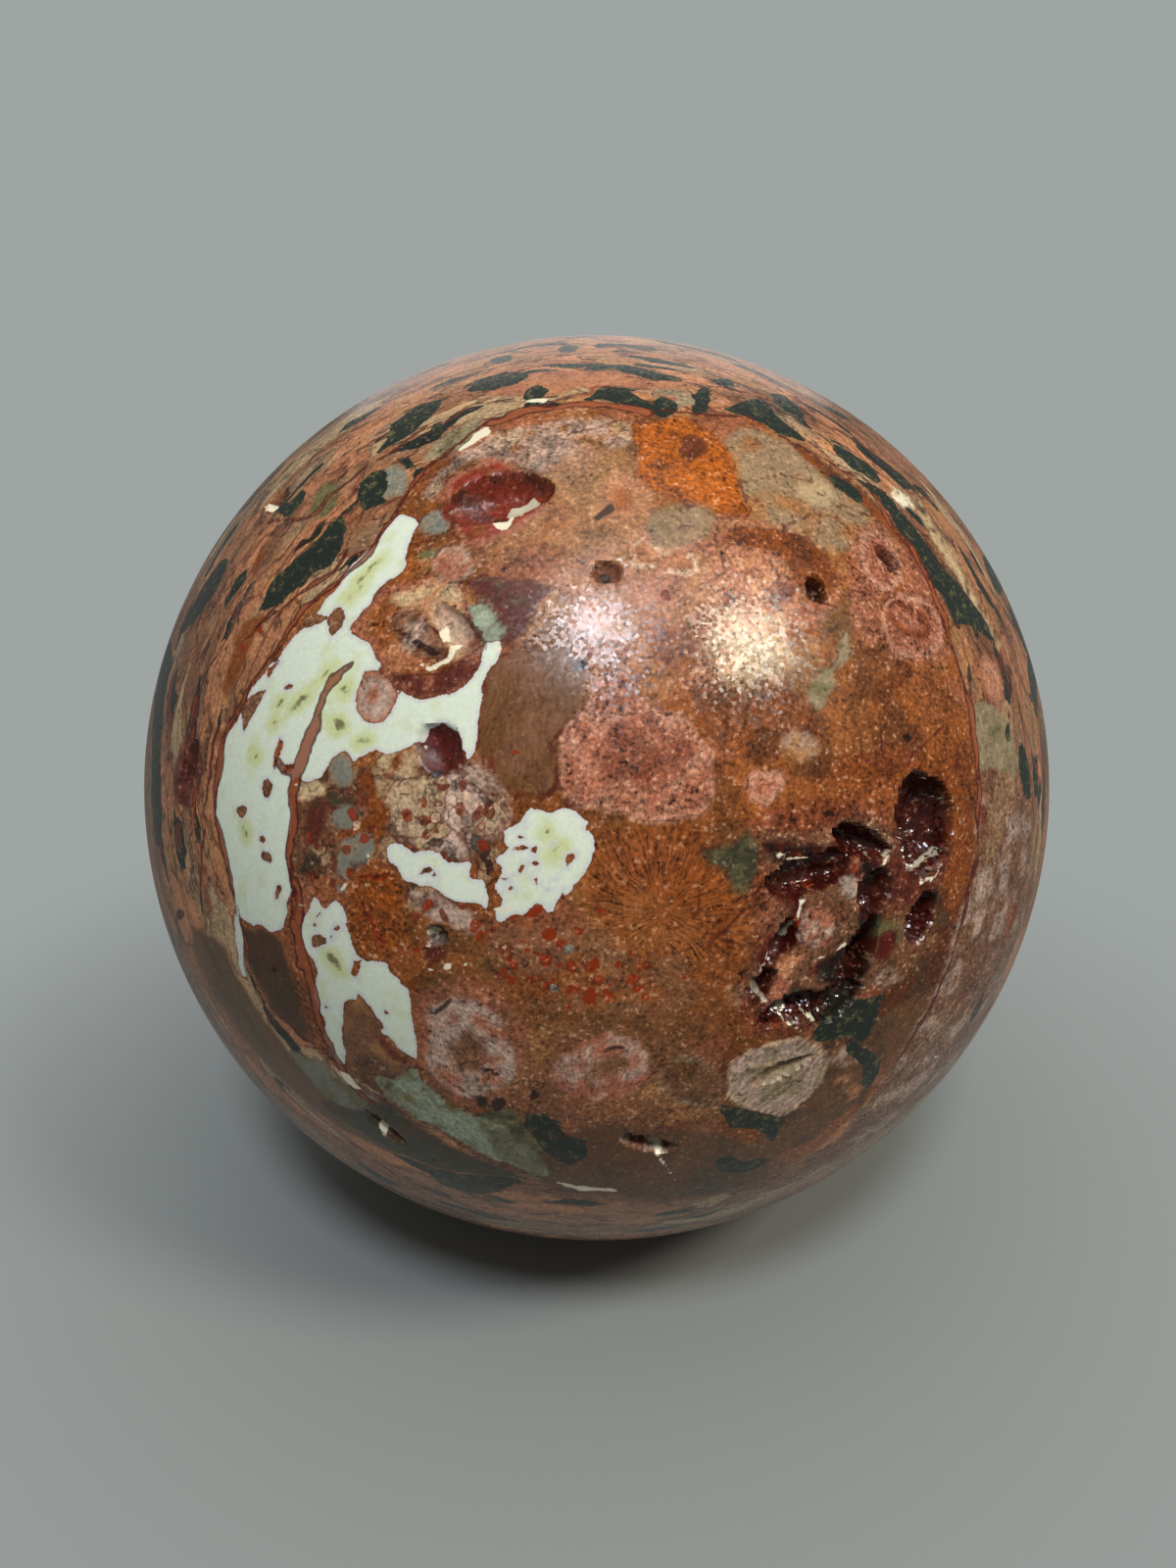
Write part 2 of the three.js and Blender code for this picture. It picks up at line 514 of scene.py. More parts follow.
# Broad grounds of the heart, soft at their edges.
GROUNDS = (
    Clast("upper crust", Loop(((432, 506), (470, 462), (540, 434), (620, 430), (652, 446), (610, 470),
        (575, 492), (548, 478), (480, 468), (448, 500))), Tone.GREY_PINK, Tone.TAN, 1.4, sugar=0.9,
        soft_mm=0.8, broken=0.5),
    Clast("tan field", Oval(606, 524, 62, 70, 20), Tone.TAN, Tone.ORANGE_BROWN, 3.0, sugar=0.7,
        soft_mm=1.2),
    Clast("upper right tan", Loop(((745, 440), (800, 452), (862, 486), (902, 524), (880, 560), (835, 560),
        (790, 540), (752, 500))), Tone.GREY_TAN, Tone.TAN, 2.2, sugar=0.5, soft_mm=0.9),
    Clast("rose ground", Oval(765, 590, 92, 62, 15), Tone.ROSE, Tone.SALMON, 1.6, sugar=1.0, soft_mm=1.2),
    Clast("loop ground", Loop(((870, 545), (905, 528), (940, 560), (966, 620), (970, 668), (930, 684),
        (884, 660), (862, 610))), Tone.ROSE, Tone.ORANGE_BROWN, 1.8, sugar=1.0, soft_mm=0.8),
    # Pale pink shoulder: partly the stone's own colour, partly painted haze of the cool lamp's highlight.
    Clast("pale shoulder and highlight haze", Oval(640, 600, 95, 52, -8), Tone.PINK, Tone.TAN, 2.0, soft_mm=2.0),
    Clast("burnt band", Loop(((706, 700), (760, 690), (820, 716), (826, 748), (780, 776), (728, 752))),
        Tone.BURNT, Tone.DEEP_ORANGE, 1.8, sugar=0.9, soft_mm=1.0),
    Clast("right field", Loop(((838, 668), (900, 662), (962, 690), (984, 750), (986, 800), (930, 812),
        (880, 806), (832, 800), (820, 740))), Tone.ORANGE_BROWN, Tone.BURNT, 2.4, sugar=0.9, soft_mm=0.8),
    Clast("right field's foot", Loop(((850, 780), (930, 760), (990, 780), (994, 880), (975, 950),
        (930, 890), (880, 830))), Tone.DEEP_ORANGE, Tone.RED_BROWN, 2.2, sugar=0.9, soft_mm=1.6),
    Clast("sunburst", Loop(((612, 862), (640, 842), (700, 836), (742, 858), (772, 890), (770, 950),
        (720, 985), (650, 975), (604, 940), (590, 900))), Tone.DEEP_ORANGE, Tone.ORANGE_BROWN, 2.6,
        fibres=0.9, fan=(676, 935), soft_mm=0.9),
    Clast("red-spot field", Loop(((505, 950), (560, 938), (640, 960), (705, 985), (710, 1025), (640, 1038),
        (560, 1030), (500, 1000))), Tone.ROSE_BROWN, Tone.ORANGE_BROWN, 1.5, sugar=0.8, soft_mm=1.0),
    Clast("brown foot field", Loop(((470, 940), (540, 1020), (700, 1035), (750, 1010), (790, 960),
        (800, 1020), (740, 1060), (640, 1052), (540, 1050), (450, 1010))), Tone.TAN_BROWN,
        Tone.ORANGE_BROWN, 2.6, sugar=0.7, soft_mm=1.4),
    Clast("rosy foot", Oval(600, 1100, 145, 52, 4), Tone.ROSE_BROWN, Tone.TAN, 2.4, sugar=0.8, soft_mm=1.6),
    # The dull foot and the grounds down to the shadowed right foot are darker towards the bottom of the ball:
    # partly the stone's own colour, partly painted shade.
    Clast("dull foot", Oval(660, 1186, 130, 38, 2), Tone.BROWN, Tone.DARK_OLIVE, 3.4, sugar=0.3,
        soft_mm=1.4),
    Clast("left foot ground", Loop(((246, 950), (286, 962), (300, 1010), (312, 1060), (268, 1010))),
        Tone.BROWN, Tone.DARK_OLIVE, 3.0, sugar=0.1, soft_mm=0.6),
    Clast("right foot ground", Loop(((880, 905), (960, 900), (965, 985), (930, 1045), (890, 1080),
        (850, 1120), (830, 1080), (880, 1030), (905, 960))), Tone.BURNT, Tone.BROWN, 2.0, sugar=0.7,
        soft_mm=0.7),
    Clast("shadowed right foot", Loop(((850, 1090), (900, 1040), (950, 1010), (930, 1060), (880, 1120),
        (820, 1166), (760, 1190), (780, 1150))), Tone.TAN_BROWN, Tone.BROWN, 2.4, sugar=0.4, soft_mm=0.7),
    Clast("pocket halo", Loop(((780, 830), (850, 815), (905, 830), (940, 930), (900, 1010), (800, 1060),
        (750, 1030), (765, 950), (755, 880))), Tone.RED_BROWN, Tone.ROSE, 1.6, sugar=1.0, soft_mm=1.2,
        broken=0.3),
    Clast("pocket ground", Loop(((778, 852), (810, 846), (850, 838), (880, 830), (912, 850), (930, 905),
        (918, 960), (906, 990), (880, 1012), (850, 1046), (800, 1048), (770, 1022), (762, 988), (788, 940),
        (796, 906), (780, 886))), Tone.ROSE_BROWN, Tone.MAROON, 1.2, sugar=1.0, soft_mm=0.6, broken=0.2),
    Clast("oval pocket's halo", Oval(938, 866, 30, 62, 8), Tone.MAROON, Tone.BURNT, 1.6, sugar=1.0,
        soft_mm=1.0),
    # Cream patch under the warm lamp's highlight: partly cream stone, partly a painted highlight.
    Clast("cream patch and warm highlight", Oval(768, 654, 42, 48), Tone.PALE_TAN, Tone.SALMON, 1.4, sugar=1.0, soft_mm=1.6),
    Clast("left crust ground", Loop(((300, 800), (350, 792), (420, 770), (480, 780), (508, 830), (500, 900),
        (430, 930), (350, 900), (304, 890))), Tone.ROSE_BROWN, Tone.RED_BROWN, 1.4, sugar=0.7, soft_mm=0.5,
        broken=0.7),
    Clast("centre crust", Loop(((402, 800), (440, 780), (486, 778), (516, 800), (512, 850), (470, 872),
        (430, 868), (402, 850))), Tone.GREY_PINK, Tone.ROSE_BROWN, 1.4, sugar=0.7, soft_mm=0.6, broken=0.8),
)

# Fragments and pebbles inside the heart, each with its own inside.
CLASTS = (
    Clast("fan clast", Loop(((496, 690), (512, 670), (540, 658), (572, 662), (594, 690), (584, 730),
        (566, 760), (570, 800), (536, 812), (504, 794), (488, 760), (487, 716))), Tone.TAN_BROWN,
        Tone.ROSE_BROWN, 3.0, rim=Tone.BURNT, rim_mm=0.15, fibres=0.4, fan=(560, 480), sugar=0.15,
        soft_mm=0.3, over_mint=True),
    Clast("shell clast", Loop(((357, 639), (369, 627), (384, 612), (396, 600), (410, 594), (435, 588),
        (455, 590), (471, 600), (478, 618), (484, 639), (490, 659), (491, 676), (482, 687), (465, 700),
        (445, 710), (424, 714), (410, 708), (394, 690), (378, 663), (362, 655))), Tone.ORANGE_BROWN,
        Tone.SALMON, 1.6, rim=Tone.ROSE, rim_mm=0.6, sugar=0.8, soft_mm=0.15, over_mint=True),
    Clast("shell clast's maroon foot", Loop(((398, 690), (416, 682), (444, 684), (470, 670), (488, 660),
        (490, 680), (470, 698), (444, 709), (420, 710))), Tone.MAROON, Tone.ROSE, 1.2, soft_mm=0.4),
    Clast("shell clast's cream top", Loop(((404, 612), (418, 598), (442, 592), (464, 600), (474, 622),
        (474, 650), (462, 672), (452, 640), (436, 624), (418, 620))), Tone.PALE_TAN, Tone.SALMON, 1.6,
        soft_mm=0.7),
    Clast("shell clast's groove", Oval(427, 646, 31, 19, 40), Tone.ROSE_BROWN, Tone.GREY_PINK, 0.9,
        rings=0.5, ring_mm=0.5, fibres=0.8, fan=(400, 700), sugar=0.5, soft_mm=0.4),
    Clast("pink disc", Oval(383, 712, 21, 24), Tone.GREY_PINK, Tone.ROSE, 1.0, rim=Tone.PINK, rim_mm=0.4,
        sugar=0.5, soft_mm=0.15, over_mint=True),
    Clast("small rose disc", Oval(462, 576, 18, 20), Tone.PINK, Tone.ROSE, 1.2, rim=Tone.GREY_PINK,
        rim_mm=0.3, sugar=0.5),
    Clast("grey chip", Oval(442, 535, 16, 12), Tone.GREY, Tone.GREY_TAN, 1.2, sugar=0.3),
    Clast("olive chip", Oval(438, 567, 9, 7, 20), Tone.OLIVE, sugar=0.3),
    Clast("dark red shard", Loop(((480, 592), (500, 585), (540, 592), (560, 600), (548, 622), (534, 640),
        (522, 656), (512, 650), (506, 628), (488, 612)), sharp=True), Tone.MAROON, Tone.BROWN, 1.3,
        sugar=0.3, soft_mm=0.3, over_mint=True),
    Clast("sage shard", Loop(((478, 616), (490, 614), (504, 628), (518, 640), (512, 652), (496, 654),
        (486, 644)), sharp=True), Tone.SAGE, Tone.GREY, 1.0, sugar=0.2, soft_mm=0.15, over_mint=True),
    Clast("grey fuzz", Oval(512, 508, 8, 10), Tone.GREY_PINK),
    Clast("red crystal bed", Loop(((437, 741), (447, 738), (463, 743), (466, 755), (475, 765), (472, 780),
        (455, 790), (443, 789), (430, 782), (426, 765), (433, 752)), sharp=True), Tone.GARNET,
        Tone.DARK_RED, 0.9, sugar=0.4, soft_mm=0.15, over_mint=True),
    Clast("red pocket bed", Loop(((453, 506), (462, 484), (490, 472), (522, 474), (548, 490), (556, 506),
        (548, 528), (530, 544), (500, 554), (476, 553), (462, 536))), Tone.RED, Tone.DEEP_ORANGE, 1.2,
        rim=Tone.ROSE, rim_mm=0.5, sugar=0.4, soft_mm=0.2),
    Clast("lilac swirl", Oval(480, 510, 15, 13, 10), Tone.GREY_PINK, Tone.MAROON, 0.7, rings=0.5,
        ring_mm=0.6),
    Clast("rose pebble", Loop(((628, 682), (604, 696), (594, 726), (576, 748), (572, 784), (580, 810),
        (606, 824), (640, 832), (684, 836), (722, 826), (730, 796), (722, 762), (694, 732), (660, 712),
        (644, 690))), Tone.ROSE, Tone.PINK, 1.0, rim=Tone.PINK, rim_mm=0.3, rings=0.10, ring_mm=1.0,
        sugar=1.0, soft_mm=0.2),
    Clast("rose pebble's heart", Loop(((618, 750), (650, 738), (690, 746), (706, 770), (690, 796),
        (650, 800), (616, 784))), Tone.RED_BROWN, Tone.ROSE, 1.3, sugar=1.0, soft_mm=0.8),
    Clast("yellow-orange spot", Oval(638, 508, 26, 20), Tone.SALMON, Tone.AMBER, 2.0, sugar=0.5,
        soft_mm=1.2),
    Clast("amber patch", Loop(((640, 437), (677, 430), (694, 426), (722, 440), (744, 458), (750, 474),
        (760, 504), (766, 522), (742, 528), (709, 516), (677, 505), (652, 490), (656, 466))), Tone.AMBER,
        Tone.DEEP_ORANGE, 1.2, sugar=0.9, soft_mm=0.3),
    Clast("amber patch's brown spot", Oval(707, 459, 15, 13), Tone.BURNT, Tone.RED_BROWN, 1.0, soft_mm=0.4),
    Clast("grey cloud", Oval(697, 536, 36, 22, -12), Tone.GREY_TAN, Tone.OLIVE, 1.8, sugar=0.4,
        soft_mm=0.8),
    Clast("coral patch", Loop(((640, 574), (654, 553), (678, 560), (706, 566), (712, 582), (690, 588),
        (660, 582))), Tone.SALMON, Tone.ORANGE_BROWN, 1.4, rim=Tone.PINK_CREAM, rim_mm=0.25, sugar=0.7),
    Clast("pink granular clast", Oval(780, 584, 52, 44, 8), Tone.SALMON, Tone.ROSE, 0.9, sugar=1.0,
        soft_mm=0.7),
    Clast("amber brow", Loop(((742, 548), (770, 536), (820, 548), (852, 576), (842, 612), (812, 600),
        (796, 570), (760, 560))), Tone.DEEP_ORANGE, Tone.BURNT, 1.4, sugar=0.9, soft_mm=0.6),
    Clast("dark rose spot", Oval(798, 604, 14, 12), Tone.MAROON, Tone.ROSE, 1.0, soft_mm=0.6),
    Clast("upper loop", Oval(896, 570, 20, 34, -24), Tone.ROSE, Tone.RED_BROWN, 0.8, rim=Tone.PINK,
        rim_mm=0.8, sugar=1.0, soft_mm=0.3),
    Clast("lower loop", Oval(930, 640, 30, 38, -38), Tone.ROSE, Tone.RED_BROWN, 0.9, rim=Tone.PINK,
        sugar=1.0, soft_mm=0.3),
    Clast("lower loop's heart", Oval(930, 632, 14, 26, -42), Tone.RED_BROWN, Tone.DEEP_ORANGE, 1.0,
        core=Tone.ROSE, core_share=0.4, sugar=1.0, soft_mm=0.5),
    Clast("grey thread", Loop(((858, 640), (866, 656), (862, 676), (846, 690), (852, 704), (836, 722),
        (824, 716), (830, 694), (850, 676))), Tone.GREY_TAN, Tone.OLIVE, 0.8, sugar=0.4, soft_mm=0.3),
    Clast("pale chip", Oval(816, 760, 20, 14, 30), Tone.TAN, Tone.GREY_PINK, 1.2, soft_mm=0.7),
    Clast("ringed rose clast", Oval(782, 800, 22, 21), Tone.ROSE, Tone.MAROON, 1.0, rim=Tone.PINK,
        rim_mm=0.6, sugar=0.9),
    Clast("olive shard", Loop(((718, 863), (748, 861), (763, 845), (773, 859), (775, 876), (772, 891),
        (761, 915), (748, 908), (741, 891), (727, 881)), sharp=True), Tone.DARK_OLIVE, Tone.OLIVE, 1.1,
        sugar=0.5, soft_mm=0.35),
    Clast("grey spots", Oval(351, 787, 15, 16), Tone.GREY, rim=Tone.GREY_TAN, rim_mm=0.3, sugar=0.1,
        over_mint=True),
    Clast("dark spot", Oval(346, 815, 15, 9), Tone.BROWN, Tone.DARK_OLIVE, 0.8, sugar=0.2),
    Clast("grey window, upper", Oval(351, 834, 12, 13), Tone.GREY, sugar=0.1),
    Clast("grey window, lower", Oval(369, 868, 20, 16, -20), Tone.GREY, Tone.GREY_TAN, 1.6, sugar=0.1),
    Clast("grey window, foot", Oval(352, 886, 9, 12), Tone.GREY, sugar=0.1),
    Clast("grey window, right", Oval(378, 808, 6, 9), Tone.GREY, sugar=0.1),
    Clast("pale crust chip", Oval(319, 808, 16, 12, 10), Tone.PALE_TAN, Tone.GREY, 0.8, sugar=0.7),
    Clast("maroon stain", Oval(322, 842, 12, 26, 8), Tone.MAROON, Tone.BROWN, 1.2, sugar=0.2, soft_mm=0.7),
    Clast("orange net", Loop(((366, 796), (378, 790), (386, 806), (398, 820), (394, 850), (392, 880),
        (384, 872), (384, 846), (368, 852), (350, 862), (346, 852), (370, 836), (374, 816))),
        Tone.DEEP_ORANGE, Tone.ORANGE_BROWN, 0.9, soft_mm=0.15),
    Clast("orange fibrous clast", Loop(((362, 896), (386, 882), (404, 892), (416, 918), (420, 946),
        (414, 972), (396, 984), (372, 978), (358, 962), (352, 930))), Tone.DEEP_ORANGE, Tone.AMBER, 1.2,
        rim=Tone.ORANGE_BROWN, rim_mm=0.6, fibres=0.5, fan=(360, 900), sugar=0.9, soft_mm=0.2),
    Clast("salmon tongue", Loop(((364, 1011), (376, 1028), (389, 1046), (401, 1065), (411, 1076),
        (412, 1088), (395, 1096), (374, 1096), (355, 1084), (348, 1064), (349, 1041), (347, 1030),
        (353, 1022), (360, 1019))), Tone.ROSE_BROWN, Tone.TAN, 2.2, sugar=0.2, soft_mm=0.15),
    Clast("tongue's red chip", Oval(397, 1072, 17, 4, 46), Tone.RED_BROWN, soft_mm=0.15),
    Clast("tongue's shadow", Oval(378, 1088, 18, 8, 14), Tone.BROWN, Tone.MAROON, 1.0, soft_mm=0.8),
    Clast("twin pit dark", Oval(447, 972, 12, 9, 12), Tone.MAROON, Tone.BLACK_RED, 0.8, soft_mm=0.3),
    Clast("lilac chips", Oval(455, 930, 40, 12, 30), Tone.GREY_PINK, Tone.MAROON, 0.9, soft_mm=0.5),
    Clast("rosy bed of the hatched clast", Oval(478, 1060, 66, 58, 30), Tone.ROSE, Tone.ROSE_BROWN, 1.8,
        sugar=0.7, soft_mm=1.4),
    Clast("hatched pink clast, left", Loop(((436, 1040), (452, 1026), (484, 1022), (508, 1040), (526, 1068),
        (520, 1100), (490, 1116), (456, 1106), (434, 1080))), Tone.GREY_PINK, Tone.ROSE, 1.2,
        core=Tone.ROSE_BROWN, core_share=0.7, fibres=0.5, fan=(440, 1010), soft_mm=0.5),
    Clast("hatched pink clast, right", Loop(((562, 1092), (584, 1068), (620, 1056), (654, 1066),
        (666, 1090), (650, 1112), (612, 1122), (578, 1114))), Tone.ROSE, Tone.GREY_PINK, 1.2,
        core=Tone.ROSE_BROWN, core_share=0.7, fibres=0.5, fan=(600, 1180), soft_mm=0.5),
    Clast("faint ringed clast", Oval(708, 1105, 32, 26, 10), Tone.TAN_BROWN, Tone.ROSE_BROWN, 1.4,
        rim=Tone.GREY_TAN, rim_mm=0.15, fibres=0.4, fan=(700, 1108)),
    Clast("banded pebble", Loop(((744, 1108), (748, 1086), (762, 1073), (794, 1063), (826, 1063),
        (844, 1073), (846, 1086), (834, 1112), (812, 1130), (794, 1138), (770, 1134), (748, 1124))),
        Tone.GREY_PINK, Tone.GREY_TAN, 1.0, rim=Tone.PINK_CREAM, rim_mm=0.2, core=Tone.GREY_TAN,
        core_share=0.5, rings=0.3, ring_mm=0.6, soft_mm=0.15),
    Clast("foot pebble, upper", Oval(866, 1078, 24, 13, -6), Tone.TAN_BROWN, Tone.GREY_PINK, 0.9),
    Clast("foot pebble, lower", Oval(862, 1110, 17, 13, 30), Tone.TAN_BROWN, Tone.SALMON, 0.9),
    Clast("foot pebble, right", Oval(893, 1098, 11, 10), Tone.ROSE, Tone.ROSE_BROWN, 0.9),
    # Painted shadows: near-black shade in and beside the pockets, down to the left slits' shadow.
    Clast("gallery shadow", Loop(((778, 864), (806, 858), (848, 860), (856, 876), (850, 898), (824, 902),
        (792, 884))), Tone.BLACK_RED, Tone.DARK_RED, 1.0, sugar=0.5, soft_mm=0.5),
    Clast("corner shadow", Loop(((846, 856), (874, 844), (894, 860), (898, 892), (884, 906), (876, 878),
        (858, 868))), Tone.BLACK_RED, Tone.DARK_RED, 1.0, sugar=0.5, soft_mm=0.4),
    Clast("slot shadow", Loop(((886, 922), (902, 930), (900, 950), (886, 974), (878, 1000), (840, 1002),
        (834, 984), (860, 966), (874, 950))), Tone.BLACK_RED, Tone.DARK_OLIVE, 1.4, sugar=0.5, soft_mm=0.5),
    Clast("lower pocket's shadow", Loop(((804, 1010), (834, 1006), (852, 1020), (848, 1038), (816, 1040),
        (806, 1028))), Tone.BLACK_RED, Tone.DARK_OLIVE, 1.2, sugar=0.5, soft_mm=0.4),
    Clast("left slits' shadow", Loop(((812, 914), (828, 920), (820, 950), (806, 974), (784, 990),
        (770, 984), (780, 962), (800, 950), (804, 930))), Tone.DARK_RED, Tone.MAROON, 1.2, sugar=0.7,
        soft_mm=0.6),
    Clast("dark way to the oval pocket", Loop(((896, 880), (916, 876), (946, 900), (950, 926), (926, 936),
        (900, 928))), Tone.DARK_RED, Tone.RED_BROWN, 1.4, sugar=0.8, soft_mm=0.8),
    Clast("gallery's pink clast", Oval(864, 876, 15, 16), Tone.ROSE, Tone.RED_BROWN, 0.9, sugar=1.0),
    Clast("whitish flake", Loop(((856, 898), (872, 892), (880, 904), (876, 918), (860, 912)), sharp=True),
        Tone.GREY_PINK, Tone.GREY, 0.8, sugar=0.5, soft_mm=0.15),
    Clast("pocket's lilac clast", Oval(834, 946, 18, 22, -20), Tone.ROSE, Tone.GREY_PINK, 0.9, sugar=0.9,
        soft_mm=0.4),
    Clast("pocket's tan clast", Oval(810, 988, 18, 15, 20), Tone.SALMON, Tone.ROSE_BROWN, 1.2, sugar=0.9,
        soft_mm=0.4),
    Clast("pocket's rose clast", Oval(788, 1008, 20, 14), Tone.ROSE, Tone.MAROON, 1.0, sugar=0.9,
        soft_mm=0.4),
    Clast("pocket's whitish clast", Oval(906, 997, 15, 11, -20), Tone.GREY_PINK, Tone.GREY_TAN, 1.0,
        soft_mm=0.3),
    Clast("olive window", Oval(908, 952, 13, 24, 35), Tone.OLIVE, Tone.DARK_OLIVE, 1.0, sugar=0.2,
        soft_mm=0.4),
    Clast("orange crumb", Oval(946, 962, 10, 7), Tone.SALMON, sugar=0.7, soft_mm=0.4),
    Clast("slot's red lip", Oval(903, 966, 8, 20, 32), Tone.GARNET, Tone.DARK_RED, 0.8, soft_mm=0.3),
    Clast("pale right wing", Loop(((905, 930), (950, 925), (960, 960), (930, 990), (900, 1010), (896, 985),
        (920, 955))), Tone.TAN_BROWN, Tone.ROSE_BROWN, 1.2, sugar=0.9, soft_mm=0.8),
    Clast("slit's halo", Oval(833, 500, 21, 13, 38), Tone.PALE_TAN, Tone.GREY_TAN, 1.6, sugar=0.1,
        soft_mm=0.9),
    Clast("mottled grey foot", Loop(((475, 1138), (512, 1132), (540, 1150), (556, 1178), (530, 1168),
        (500, 1160))), Tone.OLIVE, Tone.DARK_OLIVE, 0.9, sugar=0.4, soft_mm=0.4),
)

# Patches of pale mint green, waxy and smooth.
MINT_PATCHES = (
    Loop(((405, 526), (424, 532), (420, 547), (417, 570), (414, 580), (403, 592), (384, 609), (400, 640),
        (450, 650), (484, 674), (498, 654), (512, 648), (518, 660), (507, 676), (496, 689), (489, 704),
        (486, 725), (487, 750), (482, 768), (468, 772), (448, 770), (428, 758), (412, 763), (399, 768),
        (384, 763), (372, 773), (352, 777), (337, 784), (326, 797), (313, 799), (304, 795), (299, 801),
        (298, 826), (296, 845), (292, 861), (293, 878), (292, 895), (294, 909), (291, 923), (292, 941),
        (286, 953), (278, 954), (269, 948), (253, 942), (243, 939), (240, 930), (238, 914), (233, 895),
        (230, 879), (226, 861), (223, 847), (221, 826), (223, 803), (225, 780), (231, 757), (240, 736),
        (250, 714), (267, 692), (281, 674), (293, 657), (311, 640), (329, 622), (338, 608), (348, 597),
        (353, 584), (360, 574), (371, 563), (380, 554), (394, 540))),
    Loop(((401, 868), (410, 865), (419, 872), (433, 874), (445, 871), (452, 877), (465, 876), (475, 879),
        (475, 891), (482, 896), (491, 900), (496, 910), (498, 925), (488, 923), (474, 918), (461, 914),
        (445, 907), (431, 904), (419, 900), (408, 897), (401, 884))),
    Loop(((511, 852), (522, 845), (531, 834), (537, 824), (550, 822), (561, 826), (578, 822), (589, 824),
        (597, 833), (603, 842), (607, 860), (607, 874), (598, 885), (596, 895), (585, 901), (581, 911),
        (570, 919), (562, 930), (554, 932), (549, 926), (541, 925), (534, 932), (522, 935), (511, 941),
        (507, 932), (512, 921), (507, 911), (509, 901), (511, 889), (501, 882), (511, 874), (517, 867),
        (511, 860))),
    Loop(((321, 915), (332, 925), (343, 919), (350, 931), (352, 941), (355, 952), (357, 962), (363, 972),
        (374, 980), (393, 983), (400, 991), (409, 1002), (416, 1013), (419, 1031), (421, 1050), (425, 1066),
        (421, 1076), (410, 1073), (400, 1065), (391, 1057), (388, 1046), (382, 1037), (376, 1028),
        (364, 1011), (361, 1019), (352, 1022), (347, 1031), (349, 1042), (347, 1053), (348, 1064),
        (353, 1078), (346, 1086), (339, 1081), (333, 1070), (332, 1052), (330, 1037), (323, 1024),
        (322, 1009), (327, 998), (323, 983), (314, 972), (308, 959), (309, 941), (313, 930))),
    Loop(((238, 934), (244, 945), (249, 970), (254, 1000), (248, 994), (243, 970))),
)

# Greener, darker mint where the patch runs on down the side: partly the stone's own colour, partly painted
# shade.
PALE_GREEN_PATCHES = (
    Clast("foot strip", Loop(((384, 1100), (404, 1094), (418, 1084), (433, 1102), (461, 1124), (494, 1141),
        (522, 1158), (550, 1180), (564, 1198), (544, 1199), (522, 1191), (483, 1174), (444, 1152),
        (411, 1130), (390, 1114))), Tone.SAGE, Tone.OLIVE, 1.6, rim=Tone.OLIVE, rim_mm=0.15, sugar=0.3,
        fibres=0.35, fan=(300, 1000), soft_mm=0.2, broken=0.2),
    Clast("foot strip's dark end", Oval(528, 1178, 36, 14, 32), Tone.OLIVE, Tone.DARK_OLIVE, 1.4, sugar=0.3,
        soft_mm=0.9),
    Clast("lower left strip", Loop(((294, 1070), (315, 1076), (329, 1083), (343, 1097), (362, 1108),
        (378, 1116), (366, 1132), (348, 1128), (329, 1117), (311, 1098))), Tone.GREY, Tone.OLIVE, 2.0,
        sugar=0.1),
    Clast("butter patch", Loop(((396, 760), (412, 756), (426, 762), (430, 782), (424, 792), (400, 786),
        (386, 778))), Tone.PALE_TAN, Tone.ORANGE_BROWN, 1.0, sugar=0.5),
)

# Places sown with red-brown chips: an oval and how densely, 0 to 1.
CHIPPED = (
    (Oval(458, 842, 60, 52), 0.85), (Oval(470, 936, 62, 26, 8), 0.8), (Oval(590, 986, 100, 42, 6), 0.72),
    (Oval(352, 866, 44, 60), 0.65), (Oval(386, 934, 34, 46), 0.4), (Oval(478, 1068, 44, 42), 0.3),
    (Oval(300, 890, 12, 100), 0.6), (Oval(850, 950, 80, 100), 0.2), (Oval(520, 790, 60, 24, 20), 0.4),
    (Oval(660, 590, 70, 40), 0.12), (Oval(420, 1010, 50, 60), 0.3), (Oval(180, 700, 40, 200), 0.10),
    (Placed(176, 12, 40, 26), 0.4), (Placed(150, 20, 16, 12), 0.6), (Placed(-100, 4, 20, 14), 0.4),
    (Placed(90, 4, 18, 14), 0.4), (Oval(1000, 940, 40, 160), 0.15),
)

# Crumbly places sown with thin cream edges, partly cream crystal and partly painted glints: middle, half
# sizes, how many and their sizes in pixels.
GLINTS = (
    ((430, 850), (120, 90), 46, (0.8, 2.6)), ((868, 940), (80, 100), 60, (0.6, 2.0)),
    ((300, 880), (12, 90), 18, (0.8, 2.4)), ((940, 880), (34, 50), 26, (0.6, 1.8)),
    ((450, 965), (40, 30), 12, (1.0, 3.4)), ((900, 600), (60, 80), 12, (0.6, 1.6)),
)

# Pinkish brown chips that lie inside the mint.
MINT_CHIPS = (
    Loop(((343, 621), (350, 622), (350, 637), (341, 647), (335, 651), (334, 639), (339, 628))),
    Loop(((331, 630), (332, 636), (320, 641), (310, 644), (308, 641), (316, 633), (324, 629))),
    Loop(((270, 707), (267, 714), (259, 729), (254, 744), (248, 747), (246, 735), (245, 722), (254, 714))),
    Loop(((270, 794), (279, 801), (276, 808), (270, 815), (265, 808), (266, 799))),
    Oval(294, 701, 4, 4.5), Oval(246, 828, 4.5, 7, 8), Oval(271, 874, 5, 8, -16), Oval(327, 962, 8, 7, 20),
)

